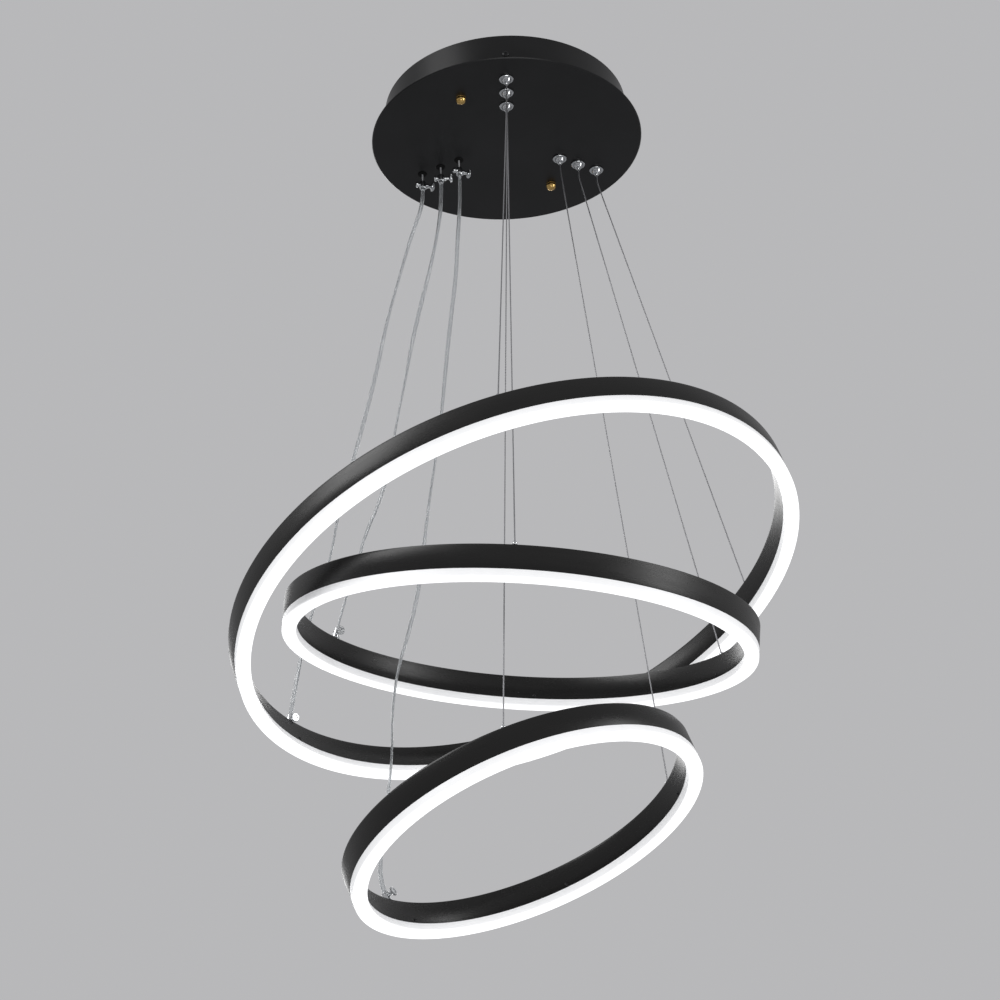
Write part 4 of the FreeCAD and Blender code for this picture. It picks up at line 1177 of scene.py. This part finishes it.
def make_terminal_block():
    """Terminal block: three towers with two poles each, and a brass screw down in each pole."""
    floor = FACE + PLATE_THICK
    block = box("block", BLOCK_LENGTH, BLOCK_WIDTH, BLOCK_HEIGHT)
    edit()
    # Cuts beside the gap between two towers, and beside the notch at each end.
    cut([POLE_PITCH * place for place in (-1.62, -1.5, -0.56, -0.44, 0.44, 0.56, 1.5, 1.62)],
        ACROSS)
    pick("FACE", lambda middle, normal: normal.z > 0.9
         and min(abs(abs(middle.x) - 0.5 * POLE_PITCH), abs(abs(middle.x) - 1.56 * POLE_PITCH))
         < 0.0007)
    extrude(-0.005)
    leave()
    soften(block, 0.0003)
    spots = [Vector((x * POLE_PITCH, y * BLOCK_WIDTH / 4, 0)) for x in (-1, 0, 1) for y in (-1, 1)]
    poles = turned("poles", [(POLE_RADIUS, BLOCK_HEIGHT - POLE_DEPTH), (POLE_RADIUS, 0.02)], 32)
    poles = scatter("poles", poles, [at(spot) for spot in spots])
    combine(block, [poles], "DIFFERENCE")
    deepest = BLOCK_HEIGHT - POLE_DEPTH
    screw = turned("pole_screw", [(0.0022, deepest), (0.0022, deepest + 0.0004),
                                  (0.0019, deepest + 0.0007)], 28)
    combine(screw, [box("slot", 0.0005, 0.005, 0.002, (0, 0, deepest + 0.0003))], "DIFFERENCE")
    screws = scatter("pole_screws", screw, [at(spot) for spot in spots])
    settle(block, at((0, 0, floor)))
    settle(screws, at((0, 0, floor)))
    dress(block, "canopy", "terminal_block", block_white)
    dress(screws, "canopy", "terminal_block", brass)


def make_internal_leads():
    """Mains leads from block to drivers, and outputs from the drivers to the cords' bushes."""
    floor = FACE + PLATE_THICK
    pole_top = floor + BLOCK_HEIGHT - POLE_DEPTH
    driver_top = floor + DRIVER_HEIGHT
    inside = DRIVER_CIRCLE - DRIVER_WIDTH / 2
    rise = 6 * LEAD_RADIUS
    routes = []
    for number, degrees in zip((1, 0, -1), DRIVER_TURNS.values()):
        side = -1 if number else 1
        pole = Vector((number * POLE_PITCH, side * BLOCK_WIDTH / 4, pole_top))
        over = Vector((pole.x, pole.y, pole_top + POLE_DEPTH + rise))
        entry = driver_top - rise + 0.0005
        routes.append([pole, over, on_circle(inside - rise, degrees, entry),
                       on_circle(inside, degrees, entry)])
    for name, degrees in DRIVER_TURNS.items():
        bush = under_canopy(name, "left", -SHANK_HEIGHT)
        over = Vector((bush.x, bush.y, driver_top + rise))
        routes.append([bush, over, on_circle(DRIVER_CIRCLE, degrees, driver_top + rise),
                       on_circle(DRIVER_CIRCLE, degrees, driver_top)])

    def section(run):
        return [(LEAD_RADIUS * math.cos(math.pi * k / 8), LEAD_RADIUS * math.sin(math.pi * k / 8))
                for k in range(16)]

    def draw(mesh):
        for route in routes:
            draw_tube(mesh, smooth_line(route, 16), section)

    leads = new_piece("inner_leads", draw)
    dress(leads, "canopy", "internal_leads", lead_grey)


# ---- the lamp ----

add_camera()
clear_cord = clear_sheath()
cord_core = tinned_core()
wire_strands = strand_steel()
black_brushed = brushed_black()
black_satin = satin_black()
opal = opal_light()
bright_chrome = handled_metal("chrome", (0.44, 0.45, 0.46), (0.60, 0.61, 0.62), 0.08, 0.24,
                              scale=420.0, depth=0.00001)
zinc = zinc_plate()
brass = handled_metal("yellow_brass", (0.42, 0.26, 0.08), (0.66, 0.45, 0.17), 0.16, 0.34,
                      scale=300.0, depth=0.00002)
screw_black = black_screw_steel()
driver_white = moulded_plastic("driver_white", (0.70, 0.70, 0.68), (0.76, 0.76, 0.74), 0.5)
block_white = moulded_plastic("block_white", (0.66, 0.65, 0.60), (0.72, 0.71, 0.66), 0.42)
lead_grey = moulded_plastic("lead_grey", (0.28, 0.28, 0.29), (0.34, 0.34, 0.35), 0.45)
core_silver = moulded_plastic("core_silver", (0.34, 0.34, 0.35), (0.48, 0.48, 0.49), 0.35)
bush_black = moulded_plastic("bush_black", (0.005, 0.005, 0.005), (0.010, 0.010, 0.010), 0.6,
                             shine=0.05)

for ring_name in RINGS:
    make_power_cord(ring_name)
    make_wire(ring_name, "near")
    make_wire(ring_name, "right")

add_studio()
add_surroundings()
for ring_name in RINGS:
    make_channel(ring_name)
    make_diffuser(ring_name)
    make_wire_lugs(ring_name)
    make_cord_grip(ring_name)
    make_edge_screws(ring_name)
    make_cord_clamp(ring_name)
    make_plunger(ring_name, "near")
    make_plunger(ring_name, "right")
make_grippers("near")
make_grippers("right")
make_cord_bushes()
make_cord_stems()
make_cover_nut(1)
make_cover_nut(2)
make_side_screws()
make_drivers()
make_terminal_block()
make_internal_leads()

KEPT_NODES = {
    "canopy_plate": black_satin, "canopy_drum": black_satin, "ceiling_bracket": zinc,
    "bracket_studs": zinc, "gripper_nuts": zinc, "drum_brackets": zinc, "earth_screw": brass,
}
for ring_name in RINGS:
    KEPT_NODES["led_strip_" + ring_name] = strip_board(ring_name)
for node_name, material in KEPT_NODES.items():
    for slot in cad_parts[node_name].material_slots:
        slot.material = material
